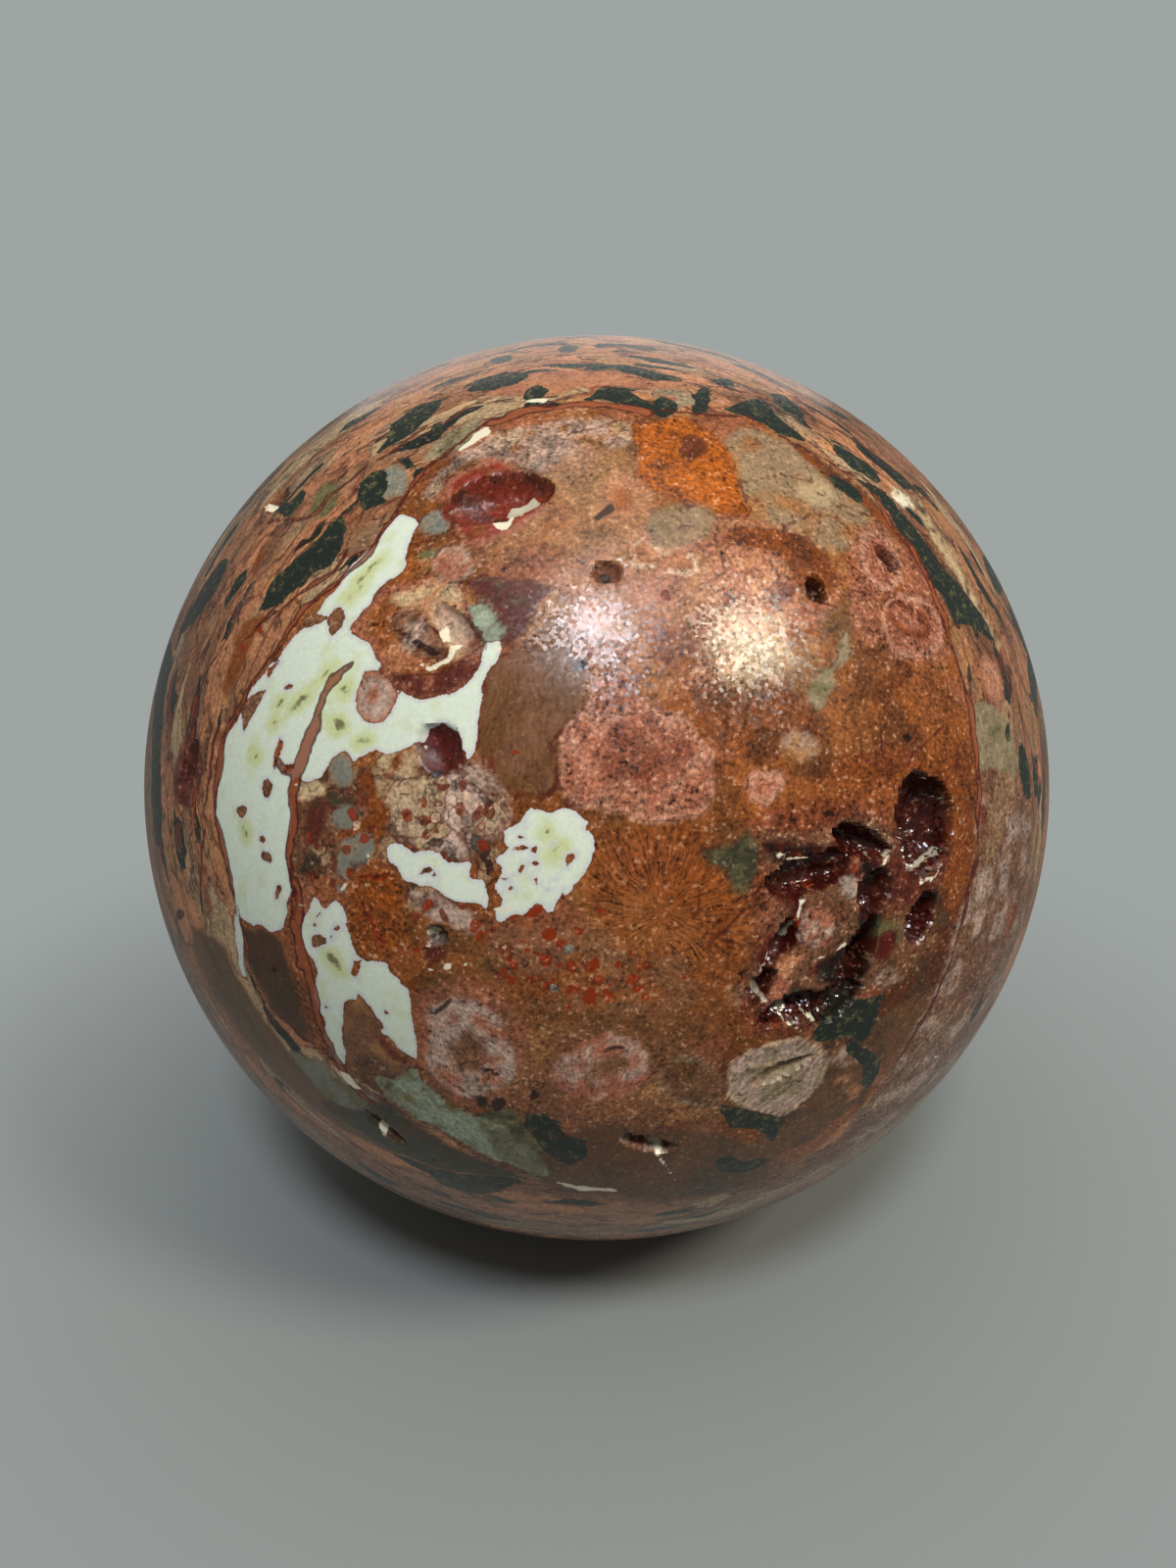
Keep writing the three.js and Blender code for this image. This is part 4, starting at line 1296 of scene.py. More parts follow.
@dataclass
class Markings:
    """The stone's colours and textures, worked out at each point of its skin."""

    view: PictureView
    skin: np.ndarray
    seed: int = 5
    strewn_seed: int = 75
    bend_mm: tuple[Pair, ...] = ((3.0, 0.42), (0.9, 0.16))
    axis_shift_mm: float = 31.7
    outer_sugar: float = 0.45
    bedding_turn_mm: float = 11
    fibre_rise: float = 0.12
    tone: np.ndarray = field(init=False)
    grain: np.ndarray = field(init=False)
    layers: dict[Layer, np.ndarray] = field(init=False)
    chance: Chance = field(init=False)

    def __post_init__(self) -> None:
        """Start with the bare stone and bend its space a little, so that no outline is too clean."""
        self.places = self.skin * self.view.radius_mm
        self.noise = RockNoise(self.seed)
        bend = np.zeros_like(self.places)
        for wave, reach in self.bend_mm:
            for axis in range(3):
                shifted = self.places + self.axis_shift_mm * (axis + 1)
                bend[:, axis] += reach * self.noise.at(shifted, wave, 2)
        self.bent = unit(self.places + bend)
        count = len(self.skin)
        self.tone = np.zeros((count, 3))
        self.grain = self.places.copy()
        start = {layer: -FAR_MM if layer.value.endswith("_mm") else 0.0 for layer in Layer}
        self.layers = {layer: np.full(count, value) for layer, value in start.items()}
        self.chance = np.random.default_rng(self.strewn_seed)

    def near(self, chart: Chart, outline: np.ndarray) -> np.ndarray:
        """Find the skin's points near an outline.

        Args:
            chart: the chart that the outline is laid flat in.
            outline: its flat points.

        Returns:
            The points' numbers.
        """
        reach = np.linalg.norm(outline, axis=1).max() + FAR_MM
        least = math.cos(min(reach / self.view.radius_mm, math.pi))
        return np.flatnonzero(self.bent @ chart.middle > least)

    def lie(self, shape: Shape) -> tuple[np.ndarray, np.ndarray]:
        """Where the skin lies against an outline.

        Args:
            shape: the outline.

        Returns:
            The points near it, and how many millimetres each is inside it.
        """
        chart = Chart(shape.heart(self.view), self.view.radius_mm)
        outline = chart.flatten(shape.trace(self.view))
        which = self.near(chart, outline)
        return which, inside_mm(chart.flatten(self.bent[which]), outline)

    def deepen(self, layer: Layer, which: np.ndarray, depth: np.ndarray) -> None:
        """Raise a layer's measures to at least these.

        Args:
            layer: the layer.
            which: the points.
            depth: a measure for each of them.
        """
        held = self.layers[layer]
        held[which] = np.maximum(held[which], depth)

    def hole(self, layer: Layer, shape: Shape) -> tuple[np.ndarray, np.ndarray]:
        """Open a hole in a layer.

        Args:
            layer: the layer.
            shape: the hole's outline.

        Returns:
            The points near it, and how many millimetres each is inside it.
        """
        which, depth = self.lie(shape)
        held = self.layers[layer]
        held[which] = np.minimum(held[which], -depth)
        return which, depth

    def lay(self, layer: Layer, shapes: tuple[Shape, ...]) -> None:
        """Join outlines into a layer of distances.

        Args:
            layer: the layer.
            shapes: the outlines.
        """
        for shape in shapes:
            self.deepen(layer, *self.lie(shape))

    def cut(self, layer: Layer, shapes: tuple[Shape, ...], bed: Tone) -> None:
        """Open holes in a layer and colour the bed that they show.

        Args:
            layer: the layer.
            shapes: the holes' outlines.
            bed: the bed's colour.
        """
        for shape in shapes:
            which, depth = self.hole(layer, shape)
            self.colour(which, step_up(depth, -0.30, 0.0), bed.linear())

    def draw(self, layer: Layer, lines: tuple[Line, ...]) -> None:
        """Add veins or cracks to a layer of distances, a little uneven in width.

        Args:
            layer: the layer.
            lines: the veins or cracks.
        """
        for line in lines:
            run = line.trace(self.view)
            chart = Chart(unit(run.mean(axis=0)), self.view.radius_mm)
            flat = chart.flatten(run)
            which = self.near(chart, flat)
            width = line.width_mm * (0.5 + 0.25 * self.noise.at(self.places[which], 4.0, 2))
            self.deepen(layer, which, width - run_mm(chart.flatten(self.bent[which]), flat))

    def colour(self, which: np.ndarray, cover: np.ndarray, tone: np.ndarray) -> None:
        """Mix a colour over the points by their cover."""
        self.tone[which] += (tone - self.tone[which]) * cover[:, None]

    def fragments(self, spread_mm: float, seed: int) -> tuple[np.ndarray, np.ndarray]:
        """Break the skin into fragments round random middles.

        Args:
            spread_mm: about how wide a fragment is.
            seed: picks the middles.

        Returns:
            Each point's fragment as a random share, and how many millimetres it is from the fragment's edge.
        """
        rng = np.random.default_rng(seed)
        count = int(2 * math.tau * (self.view.radius_mm / spread_mm) ** 2)
        middles = unit(rng.normal(size=(count, 3)))
        tree = KDTree(count)
        for number, middle in enumerate(middles):
            tree.insert(middle, number)
        tree.balance()
        pairs = [tree.find_n(place, 2) for place in self.bent]
        first, second = (np.array([pair[rank][1] for pair in pairs]) for rank in (0, 1))
        near, next_near = (np.array([pair[rank][2] for pair in pairs]) for rank in (0, 1))
        apart = np.linalg.norm(middles[first] - middles[second], axis=1)
        edge = (next_near**2 - near**2) / (2 * apart) * self.view.radius_mm
        return rng.random(count)[first], edge

    def shatter(self, where: np.ndarray) -> None:
        """Vary the colour from fragment to fragment and draw thin seams between some of them.

        Args:
            where: how strongly each point takes part, 0 to 1.
        """
        for spread, strength, seed in SHATTERED:
            chance, edge = self.fragments(spread, seed)
            self.tone *= (1 + strength * (chance - 0.5) * where)[:, None]
            for tone, factor, least in SHATTERED_TONES:
                chosen = step_up(chance * factor % 1, least, least + 0.06)
                self.tone = tinted(self.tone, tone, chosen * where * 0.4)
            hidden = step_up(self.noise.at(self.places + seed, 9.0, 2), -0.25, 0.15)
            self.deepen(Layer.SEAM, slice(None), 0.07 - edge - 0.6 * hidden - FAR_MM * (1 - where))

    def blend(self, first: Tone, second: Tone | None, which: np.ndarray, wave_mm: float) -> np.ndarray:
        """Two colours in blotches.

        Args:
            first: the main colour.
            second: the other colour, if there is one.
            which: the points to colour.
            wave_mm: the size of the blotches.

        Returns:
            A colour in linear light for each point.
        """
        base = np.tile(first.linear(), (len(which), 1))
        if second is None:
            return base
        return tinted(base, second, step_up(self.noise.at(self.places[which], wave_mm, 3), -0.15, 0.75))

    def set_fibres(self, which: np.ndarray, clast: Clast) -> None:
        """Turn the grain of a clast into fibres that spread from its fan's middle, or else from its edge.

        Args:
            which: the points inside it.
            clast: the clast.
        """
        radius = self.view.radius_mm
        if clast.fan:
            middle = self.view.onto((clast.fan,))[0]
        else:
            chart = Chart(clast.shape.heart(self.view), radius)
            middle = chart.lift(chart.flatten(clast.shape.trace(self.view))[:1])[0]
        flat = Chart(middle, radius).flatten(self.bent[which])
        away = np.linalg.norm(flat, axis=1)
        self.grain[which] = np.column_stack((unit(flat) * away.mean(), self.fibre_rise * away))

    def filling(self, clast: Clast, which: np.ndarray, depth: np.ndarray) -> np.ndarray:
        """The colours inside a fragment: its blotches, core, rings and rim.

        Args:
            clast: the fragment.
            which: the points that it covers.
            depth: how many millimetres each is inside it.

        Returns:
            A colour in linear light for each point.
        """
        tone = self.blend(clast.tone, clast.second, which, clast.blotch_mm)
        wobble = self.noise.at(self.places[which], 1.6, 2)
        if clast.core:
            deep = depth / depth.max() + 0.2 * wobble
            tone = tinted(tone, clast.core, step_up(deep, clast.core_share - 0.12, clast.core_share + 0.12))
        if clast.rings:
            wave = np.sin(math.tau * (depth / clast.ring_mm + 0.25 * wobble))
            tone *= 1 + clast.rings * wave[:, None]
        if clast.rim:
            past_rim = step_up(depth + 0.2 * wobble, clast.rim_mm * 0.75, clast.rim_mm * 1.25)
            tone = tinted(tone, clast.rim, 1 - past_rim)
        return tone

    def paint(self, clast: Clast) -> None:
        """Lay one fragment or patch over the stone.

        Args:
            clast: the fragment or patch.
        """
        which, depth = self.lie(clast.shape)
        half = clast.soft_mm / 2
        inside = depth > -half
        which, depth = which[inside], depth[inside]
        if not len(which):
            return
        cover = step_up(depth, -half, half)
        self.colour(which, cover * clast.opacity(), self.filling(clast, which, depth))
        textures = {Layer.SUGAR: clast.sugar, Layer.FIBRE: clast.fibres, Layer.OUTER: clast.broken}
        for layer, value in textures.items():
            self.layers[layer][which] += (value - self.layers[layer][which]) * cover
        if clast.seamed():
            seam = self.layers[Layer.SEAM]
            seam[which] += (-FAR_MM - seam[which]) * step_up(depth, 0, 0.4)
            line = 0.05 + 0.10 * self.noise.at(self.places[which], 3.0, 2) - np.abs(depth)
            self.deepen(Layer.SEAM, which, line)
        if clast.fibres:
            self.set_fibres(which[cover > 0.5], clast)

    def ground(self) -> None:
        """Colour the stone outside and inside the heart before its fragments are laid."""
        flat = Chart(self.view.toward(), self.view.radius_mm).flatten(self.bent)
        away = np.linalg.norm(flat, axis=1) + 0.6 * self.noise.at(self.places, 9, 2)
        bedding = np.column_stack((away, self.bedding_turn_mm * unit(flat)))
        outside = self.blend(Tone.SALMON, Tone.TAN, np.arange(len(self.skin)), 3.0)
        outside = tinted(outside, Tone.ROSE_BROWN, step_up(self.noise.at(bedding + 40, 2.6, 3), 0.05, 0.6))
        pale = 0.7 * step_up(self.noise.at(bedding + 90, 3.4, 3), 0.2, 0.7)
        self.tone = tinted(outside, Tone.GREY_TAN, pale)
        self.grain = bedding
        self.layers[Layer.OUTER][:] = 1
        self.layers[Layer.SUGAR][:] = self.outer_sugar
        self.paint(HEART)
        which, depth = self.lie(HEART.shape)
        self.grain[which[depth > 0]] = self.places[which[depth > 0]]
        self.shatter(1 - self.layers[Layer.OUTER])

    def pits(self, hollows: tuple[Hollow, ...]) -> None:
        """Colour the linings of the open pits and pockets.

        Args:
            hollows: the pits and pockets.
        """
        for seed, hollow in enumerate(hollows):
            which, share, _ = hollow_reach(hollow, seed, self.skin, self.view.radius_mm)
            cover = step_up(share, 0.0, 0.25)
            lining = self.blend(hollow.lining, Tone.MAROON, which, 1.2)
            self.colour(which, cover * (0.6 + 0.4 * hollow.glass), lining)
            self.deepen(Layer.GLASS, which, cover * hollow.glass)
            self.deepen(Layer.DULL, which, cover * (1 - hollow.glass))
            for layer in (Layer.OUTER, Layer.FIBRE):
                self.layers[layer][which] *= 1 - cover

    def work(self) -> None:
        """Lay all the markings in order, from the ground up."""
        self.ground()
        hidden = HiddenSides(self.view, np.random.default_rng(self.seed))
        shards = hidden.shards()
        for clast in (*hidden.clasts(), *GROUNDS, *OUTER_CLASTS, *CLASTS, *PALE_GREEN_PATCHES):
            self.paint(clast)
        self.crumble()
        self.lay(Layer.GREEN, GREEN_PATCHES + shards)
        self.lay(Layer.MINT, MINT_PATCHES + FAR_MINT)
        for clast in CLASTS:
            if clast.over_mint:
                self.hole(Layer.MINT, clast.shape)
        self.cut(Layer.MINT, MINT_CHIPS, Tone.ROSE_BROWN)
        self.cut(Layer.MINT, MINT_SPOTS, Tone.CHIP_BROWN)
        self.cut(Layer.MINT, hidden.spots(), Tone.BROWN)
        self.lay(Layer.STAIN, MINT_STAINS)
        self.draw(Layer.VEIN, VEINS)
        self.lay(Layer.VEIN, hidden.seams())
        self.draw(Layer.DARK, CRACKS)
        self.lay(Layer.DARK, tuple(Oval(x, y, r, r, corners=9) for x, y, r in DARK_SPECKS))
        self.lay(Layer.RED, tuple(Oval(x, y, 1.2 * r, 0.8 * r, x % 90, 9) for x, y, r in RED_SPOTS))
        # Cream flakes and painted glints.
        self.lay(Layer.FLAKE_AND_GLINT, FLAKES_AND_GLINTS)
        self.draw(Layer.FLAKE_AND_GLINT, PAINTED_GLEAMS)
        self.pits(HOLLOWS)

    def strewn(self, middle: Pair, halves: Pair, count: int, sizes: Pair) -> tuple[Oval, ...]:
        """Scatter small ovals in an oval part of the picture.

        Args:
            middle: its middle pixel.
            halves: its half sizes in pixels.
            count: how many ovals.
            sizes: the least and the greatest half size in pixels.

        Returns:
            The ovals.
        """
        found = []
        for _ in range(count):
            turn = self.chance.uniform(0, math.tau)
            reach = math.sqrt(self.chance.random())
            x = middle[0] + halves[0] * reach * math.cos(turn)
            y = middle[1] + halves[1] * reach * math.sin(turn)
            across = self.chance.uniform(*sizes)
            down = across * self.chance.uniform(0.4, 0.9)
            found.append(Oval(x, y, across, down, self.chance.uniform(0, 180), corners=8))
        return tuple(found)

    def crumble(self) -> None:
        """Scatter the thin cream edges with their painted glints, and note where the chips lie."""
        for middle, halves, count, sizes in GLINTS:
            self.lay(Layer.FLAKE_AND_GLINT, self.strewn(middle, halves, count, sizes))
        for shape, density in CHIPPED:
            which, depth = self.lie(shape)
            self.deepen(Layer.CHIPS, which, density * step_up(depth, -0.5, 1.5))

    def write(self, mesh: bpy.types.Mesh) -> None:
        """Store the markings as attributes of the mesh.

        Args:
            mesh: the ball's mesh, whose points are the skin's.
        """
        tone = mesh.attributes.new("tone", "FLOAT_COLOR", "POINT")
        full = np.column_stack((np.clip(self.tone, 0, 1), np.ones(len(self.tone))))
        tone.data.foreach_set("color", full.astype(np.float32).ravel())
        grain = mesh.attributes.new("grain_mm", "FLOAT_VECTOR", "POINT")
        grain.data.foreach_set("vector", self.grain.astype(np.float32).ravel())
        for layer, values in self.layers.items():
            held = mesh.attributes.new(layer.value, "FLOAT", "POINT")
            held.data.foreach_set("value", values.astype(np.float32))


@dataclass
class PolishedStone:
    """The ball itself: one skin with its pits pressed in, and a small flat to rest on."""

    view: PictureView
    splits: int = 95
    fine_deg: float = 50
    crease_deg: float = 32
    crystal_mm: float = 0.9
    crystal_seed: int = 23
    jag: float = 0.12

    def ball(self) -> bmesh.types.BMesh:
        """Split a cube into an even ball, finer on the side that faces the camera and in the pits.

        Returns:
            The ball round its own centre, of radius 1.
        """
        ball = bmesh.new()
        bmesh.ops.create_cube(ball, size=2)
        bmesh.ops.subdivide_edges(ball, edges=ball.edges[:], cuts=self.splits, use_grid_fill=True)
        turn = Matrix(self.view.axes()).transposed()
        for vertex in ball.verts:
            warped = Vector([math.tan(share * math.pi / 4) for share in vertex.co])
            vertex.co = turn @ warped.normalized()
        toward = self.view.toward()
        self.refine(ball, lambda middles: middles @ toward > math.cos(math.radians(self.fine_deg)))
        self.refine(ball, self.in_pits)
        return ball

    def refine(self, ball: bmesh.types.BMesh, chosen: Any) -> None:
        """Split some faces in four and bring the new corners out onto the ball.

        Args:
            ball: the ball, of radius 1.
            chosen: takes the faces' middles as unit rows and tells which are split.
        """
        faces = ball.faces[:]
        middles = unit(np.array([face.calc_center_median() for face in faces]))
        picked = chosen(middles)
        edges = {edge for face, wanted in zip(faces, picked) if wanted for edge in face.edges}
        bmesh.ops.subdivide_edges(ball, edges=list(edges), cuts=1, use_grid_fill=True)
        for vertex in ball.verts:
            vertex.co.normalize()

    def in_pits(self, middles: np.ndarray) -> np.ndarray:
        """Whether directions lie in a pit's mouth.

        Args:
            middles: rows of unit directions.

        Returns:
            True for each one that does.
        """
        picked = np.zeros(len(middles), dtype=bool)
        for seed, hollow in enumerate(HOLLOWS):
            which, _, _ = hollow_reach(hollow, seed, middles, self.view.radius_mm)
            picked[which] = True
        return picked

    def depths(self, skin: np.ndarray) -> np.ndarray:
        """How far the pits press the skin in, with crystal steps on their walls.

        Args:
            skin: the skin's unit directions.

        Returns:
            Millimetres for each.
        """
        deepest = np.zeros(len(skin))
        places = skin * self.view.radius_mm
        steps = RockNoise(self.crystal_seed).at(places, self.crystal_mm, 2)
        for seed, hollow in enumerate(HOLLOWS):
            which, share, depth = hollow_reach(hollow, seed, skin, self.view.radius_mm)
            jagged = depth * (1 + self.jag * hollow.glass * steps[which] * step_up(share, 0.1, 0.5))
            jagged *= step_up(share, -0.1, 0.35)
            deepest[which] = np.maximum(deepest[which], jagged)
        return deepest

    def grind_flat(self, ball: bmesh.types.BMesh) -> None:
        """Cut the small flat under the ball and close it.

        Args:
            ball: the ball, of radius 1.
        """
        flat_height = -self.view.centre_height_mm / self.view.radius_mm
        parts = ball.verts[:] + ball.edges[:] + ball.faces[:]
        cut = bmesh.ops.bisect_plane(
            ball, geom=parts, plane_co=(0, 0, flat_height), plane_no=(0, 0, -1), clear_outer=True
        )
        rim = [part for part in cut["geom_cut"] if isinstance(part, bmesh.types.BMEdge)]
        bmesh.ops.edgeloop_fill(ball, edges=rim)
        bmesh.ops.recalc_face_normals(ball, faces=ball.faces[:])

    def build(self) -> bpy.types.Object:
        """Model the ball and store its markings.

        Returns:
            The finished piece.
        """
        ball = self.ball()
        self.grind_flat(ball)
        mesh = bpy.data.meshes.new("polished_stone")
        ball.to_mesh(mesh)
        ball.free()
        corners = np.empty(len(mesh.vertices) * 3)
        mesh.vertices.foreach_get("co", corners)
        corners = corners.reshape(-1, 3)
        skin = unit(corners)
        markings = Markings(self.view, skin)
        markings.work()
        markings.write(mesh)
        pressed = corners * self.view.radius_mm - skin * self.depths(skin)[:, None]
        pressed[:, 2] += self.view.centre_height_mm
        mesh.vertices.foreach_set("co", (pressed * MM).astype(np.float32).ravel())
        mesh.shade_smooth()
        mesh.set_sharp_from_angle(angle=math.radians(self.crease_deg))
        mesh.update()
        piece = bpy.data.objects.new("polished_stone", mesh)
        bpy.context.scene.collection.objects.link(piece)
        mesh.materials.append(StoneFinish().material())
        return piece


@dataclass
class PocketCrystals:
    """The short pointed crystals that line the glassy pockets."""

    view: PictureView
    seed: int = 41
    per_mm2: float = 2.4
    sides: int = 6
    thick_mm: Pair = (0.08, 0.22)
    long_mm: Pair = (0.3, 0.75)
    tip_share: float = 0.12
    tilt: float = 0.6
    floor_share: float = 0.50
    spread_share: float = 0.62
    deep_share: float = 0.8
    least_mm: float = 0.2
    whole_mm: float = 0.5
    least_upright: float = 0.2
    seated_share: float = 0.3
    glassy: float = 0.6

    def seat(self, hollow: Hollow, seed: int, rng: Chance) -> list[tuple[Matrix, float, float]]:
        """Places for the crystals of one pocket.

        Args:
            hollow: the pocket.
            seed: its number in the list.
            rng: the seeded source of chance.

        Returns:
            For each crystal its matrix in millimetres from the ball's centre, its half width and its length.
        """
        radius = self.view.radius_mm
        chart = Chart(facing(hollow.bearing, hollow.height), radius)
        count = int(self.per_mm2 * hollow.length * hollow.width * hollow.glass)
        flat = rng.uniform(-self.spread_share, self.spread_share, (count, 2)) * hollow.length
        spots = chart.lift(flat)
        which, share, depth = hollow_reach(hollow, seed, spots, radius)
        seats = []
        for spot, part, deep in zip(spots[which], share, depth):
            length = min(rng.uniform(*self.long_mm), self.deep_share * deep)
            if length < self.least_mm or part > self.floor_share:
                continue
            half = rng.uniform(*self.thick_mm) * min(1, length / self.whole_mm)
            axis = unit(spot + rng.normal(0, self.tilt, 3))
            if axis @ spot < self.least_upright:
                axis = spot
            turn = Vector(axis).to_track_quat("Z", "Y").to_matrix().to_4x4()
            base = Vector(spot * (radius - deep)) + Vector(axis) * length * self.seated_share
            spin = Matrix.Rotation(rng.uniform(0, math.tau), 4, "Z")
            seats.append((Matrix.Translation(base) @ turn @ spin, half, length))
        return seats

    def build(self) -> bpy.types.Object:
        """Model all the crystals as one piece.

        Returns:
            The finished piece.
        """
        rng = np.random.default_rng(self.seed)
        crust = bmesh.new()
        shade = crust.verts.layers.float.new("shade")
        lift = Matrix.Translation((0, 0, self.view.centre_height_mm * MM)) @ Matrix.Scale(MM, 4)
        for seed, hollow in enumerate(HOLLOWS):
            if hollow.glass < self.glassy:
                continue
            for place, half, length in self.seat(hollow, seed, rng):
                made = bmesh.ops.create_cone(
                    crust, cap_ends=True, segments=self.sides, radius1=half, radius2=half * self.tip_share,
                    depth=length, matrix=lift @ place,
                )
                tint = rng.random()
                for vertex in made["verts"]:
                    vertex[shade] = tint
        bmesh.ops.recalc_face_normals(crust, faces=crust.faces[:])
        mesh = bpy.data.meshes.new("pocket_crystals")
        crust.to_mesh(mesh)
        crust.free()
        piece = bpy.data.objects.new("pocket_crystals", mesh)
        bpy.context.scene.collection.objects.link(piece)
        mesh.materials.append(CrystalFinish().material())
        return piece


class Value:
    """A shader socket that Python's operators work on."""

    def __init__(self, graph: "Graph", socket: bpy.types.NodeSocket) -> None:
        """Hold the socket and the graph that it is in."""
        self.graph = graph
        self.socket = socket

    def join(self, operation: str, first: Any, second: Any) -> "Value":
        """Add the node for one operation.

        Args:
            operation: the node's operation.
            first: a value or a number.
            second: a value or a number.

        Returns:
            The result.
        """
        sides = (first, second)
        if any(isinstance(side, Value) and side.socket.type == "VECTOR" for side in sides):
            spread = [side if isinstance(side, Value) else (side, side, side) for side in sides]
            return self.graph.add("ShaderNodeVectorMath", {"operation": operation}, dict(enumerate(spread)))
        return self.graph.add("ShaderNodeMath", {"operation": operation}, dict(enumerate(sides)))

    def part(self, name: str) -> "Value":
        """Another output of the same node."""
        return Value(self.graph, self.socket.node.outputs[name])

    def __add__(self, other: Any) -> "Value":
        """Sum."""
        return self.join("ADD", self, other)

    def __radd__(self, other: Any) -> "Value":
        """Sum with a number on the left."""
        return self.join("ADD", other, self)

    def __sub__(self, other: Any) -> "Value":
        """Difference."""
        return self.join("SUBTRACT", self, other)

    def __rsub__(self, other: Any) -> "Value":
        """Difference from a number."""
        return self.join("SUBTRACT", other, self)

    def __mul__(self, other: Any) -> "Value":
        """Product."""
        return self.join("MULTIPLY", self, other)

    def __rmul__(self, other: Any) -> "Value":
        """Product with a number on the left."""
        return self.join("MULTIPLY", other, self)


class Graph:
    """The nodes of one material."""

    def __init__(self, name: str) -> None:
        """Start an empty material.

        Args:
            name: the material's name.
        """
        self.material = bpy.data.materials.new(name)
        self.material.use_nodes = True
        self.tree = self.material.node_tree
        self.tree.nodes.clear()

    def add(self, kind: str, settings: dict[str, Any], sockets: dict[Any, Any], output: Any = 0) -> Value:
        """Add one node.

        Args:
            kind: the node's type.
            settings: its properties, set first.
            sockets: numbers, colours or values for its inputs, by name or number.
            output: the output that is wanted.

        Returns:
            That output.
        """
        node = self.tree.nodes.new(kind)
        for name, value in settings.items():
            setattr(node, name, value)
        for name, value in sockets.items():
            if isinstance(value, Value):
                self.tree.links.new(value.socket, node.inputs[name])
            else:
                node.inputs[name].default_value = value
        return Value(self, node.outputs[output])

    def place_mm(self) -> Value:
        """The point's place on the piece in millimetres."""
        return self.add("ShaderNodeTexCoord", {}, {}, "Object") * 1000

    def held(self, name: Layer | str, output: str = "Fac") -> Value:
        """An attribute that the mesh carries, or one of the stone's layers."""
        attribute = name.value if isinstance(name, Layer) else name
        return self.add("ShaderNodeAttribute", {"attribute_name": attribute}, {}, output)

    def noise(self, place: Value, wave_mm: float, detail: float = 2, rough: float = 0.55) -> Value:
        """Cloudy noise, 0 to 1."""
        sockets = {"Vector": place, "Scale": 1 / wave_mm, "Detail": detail, "Roughness": rough}
        return self.add("ShaderNodeTexNoise", {}, sockets, "Fac")

    def drift(self, place: Value, wave_mm: float, reach_mm: float) -> Value:
        """Move a place about by noise.

        Args:
            place: the place in millimetres.
            wave_mm: the size of the noise's blotches.
            reach_mm: how far it moves at most, both ways together.

        Returns:
            The moved place.
        """
        sockets = {"Vector": place, "Scale": 1 / wave_mm, "Detail": 2}
        moved = self.add("ShaderNodeTexNoise", {}, sockets, "Color")
        return place + self.centred(moved) * reach_mm

    def centred(self, colour: Value) -> Value:
        """A random colour as a direction round 0."""
        return self.add("ShaderNodeVectorMath", {"operation": "SUBTRACT"}, {0: colour, 1: (0.5, 0.5, 0.5)})

    def cells(self, place: Value, size_mm: float, feature: str = "F1", output: str = "Distance") -> Value:
        """Crystal cells."""
        sockets = {"Vector": place, "Scale": 1 / size_mm}
        return self.add("ShaderNodeTexVoronoi", {"feature": feature}, sockets, output)

    def chance(self, cells: Value, channel: int = 0) -> Value:
        """A random number for each crystal cell, another one for each channel."""
        return self.add("ShaderNodeSeparateColor", {}, {0: cells.part("Color")}, channel)

    def rise(self, value: Value, low: float, high: float) -> Value:
        """A smooth rise from 0 at low to 1 at high."""
        sockets = {"Value": value, "From Min": low, "From Max": high}
        return self.add("ShaderNodeMapRange", {"interpolation_type": "SMOOTHSTEP"}, sockets)

    def mix(self, share: Value, first: Value | Tone, second: Value | Tone) -> Value:
        """Mix two colours.

        Args:
            share: how much of the second one, 0 to 1.
            first: a tone or a colour.
            second: a tone or a colour.

        Returns:
            The mixed colour.
        """
        sides = [side.rgba() if isinstance(side, Tone) else side for side in (first, second)]
        sockets = {MIX_SHARE: share, MIX_FIRST: sides[0], MIX_SECOND: sides[1]}
        return self.add("ShaderNodeMix", {"data_type": "RGBA"}, sockets, MIX_RESULT)

    def scale(self, colour: Value, factor: Value) -> Value:
        """A colour made brighter or darker."""
        return self.add("ShaderNodeVectorMath", {"operation": "SCALE"}, {0: colour, "Scale": factor})

    def tilted(self, cells: Value, reach: Value) -> Value:
        """The surface's normal, leaning its own way in each crystal cell.

        Args:
            cells: the crystal cells.
            reach: how far they lean.

        Returns:
            The normal.
        """
        lean = self.scale(self.centred(cells.part("Color")), reach)
        summed = self.add("ShaderNodeNewGeometry", {}, {}, "Normal") + lean
        return self.add("ShaderNodeVectorMath", {"operation": "NORMALIZE"}, {0: summed})

    def finish(self, sockets: dict[str, Any]) -> bpy.types.Material:
        """Join the surface shader to the output.

        Args:
            sockets: the values of the surface shader's inputs.

        Returns:
            The finished material.
        """
        surface = self.add("ShaderNodeBsdfPrincipled", {}, sockets, "BSDF")
        self.add_output(surface)
        return self.material

    def add_output(self, surface: Value) -> None:
        """Show a surface shader."""
        output = self.tree.nodes.new("ShaderNodeOutputMaterial")
        self.tree.links.new(surface.socket, output.inputs["Surface"])


@dataclass(frozen=True)
class StoneTexture:
    """The noises and crystal cells that the stone's markings share, all in one material."""

    graph: Graph
    grain: Value
    wobble: Value
    fine: Value
    mist: Value
    flecks: Value
    drifted: Value
    crumbs: Value

    def inside(self, layer: Layer, waver: float, low: float, high: float) -> Value:
        """How far a point lies in a layer's outlines, once their edges waver.

        Args:
            layer: the layer of distances.
            waver: how strongly the edges waver.
            low: the millimetres inside at which the rise starts.
            high: the millimetres inside at which it ends.

        Returns:
            0 outside them to 1 inside.
        """
        return self.graph.rise(self.graph.held(layer) + self.wobble * waver, low, high)


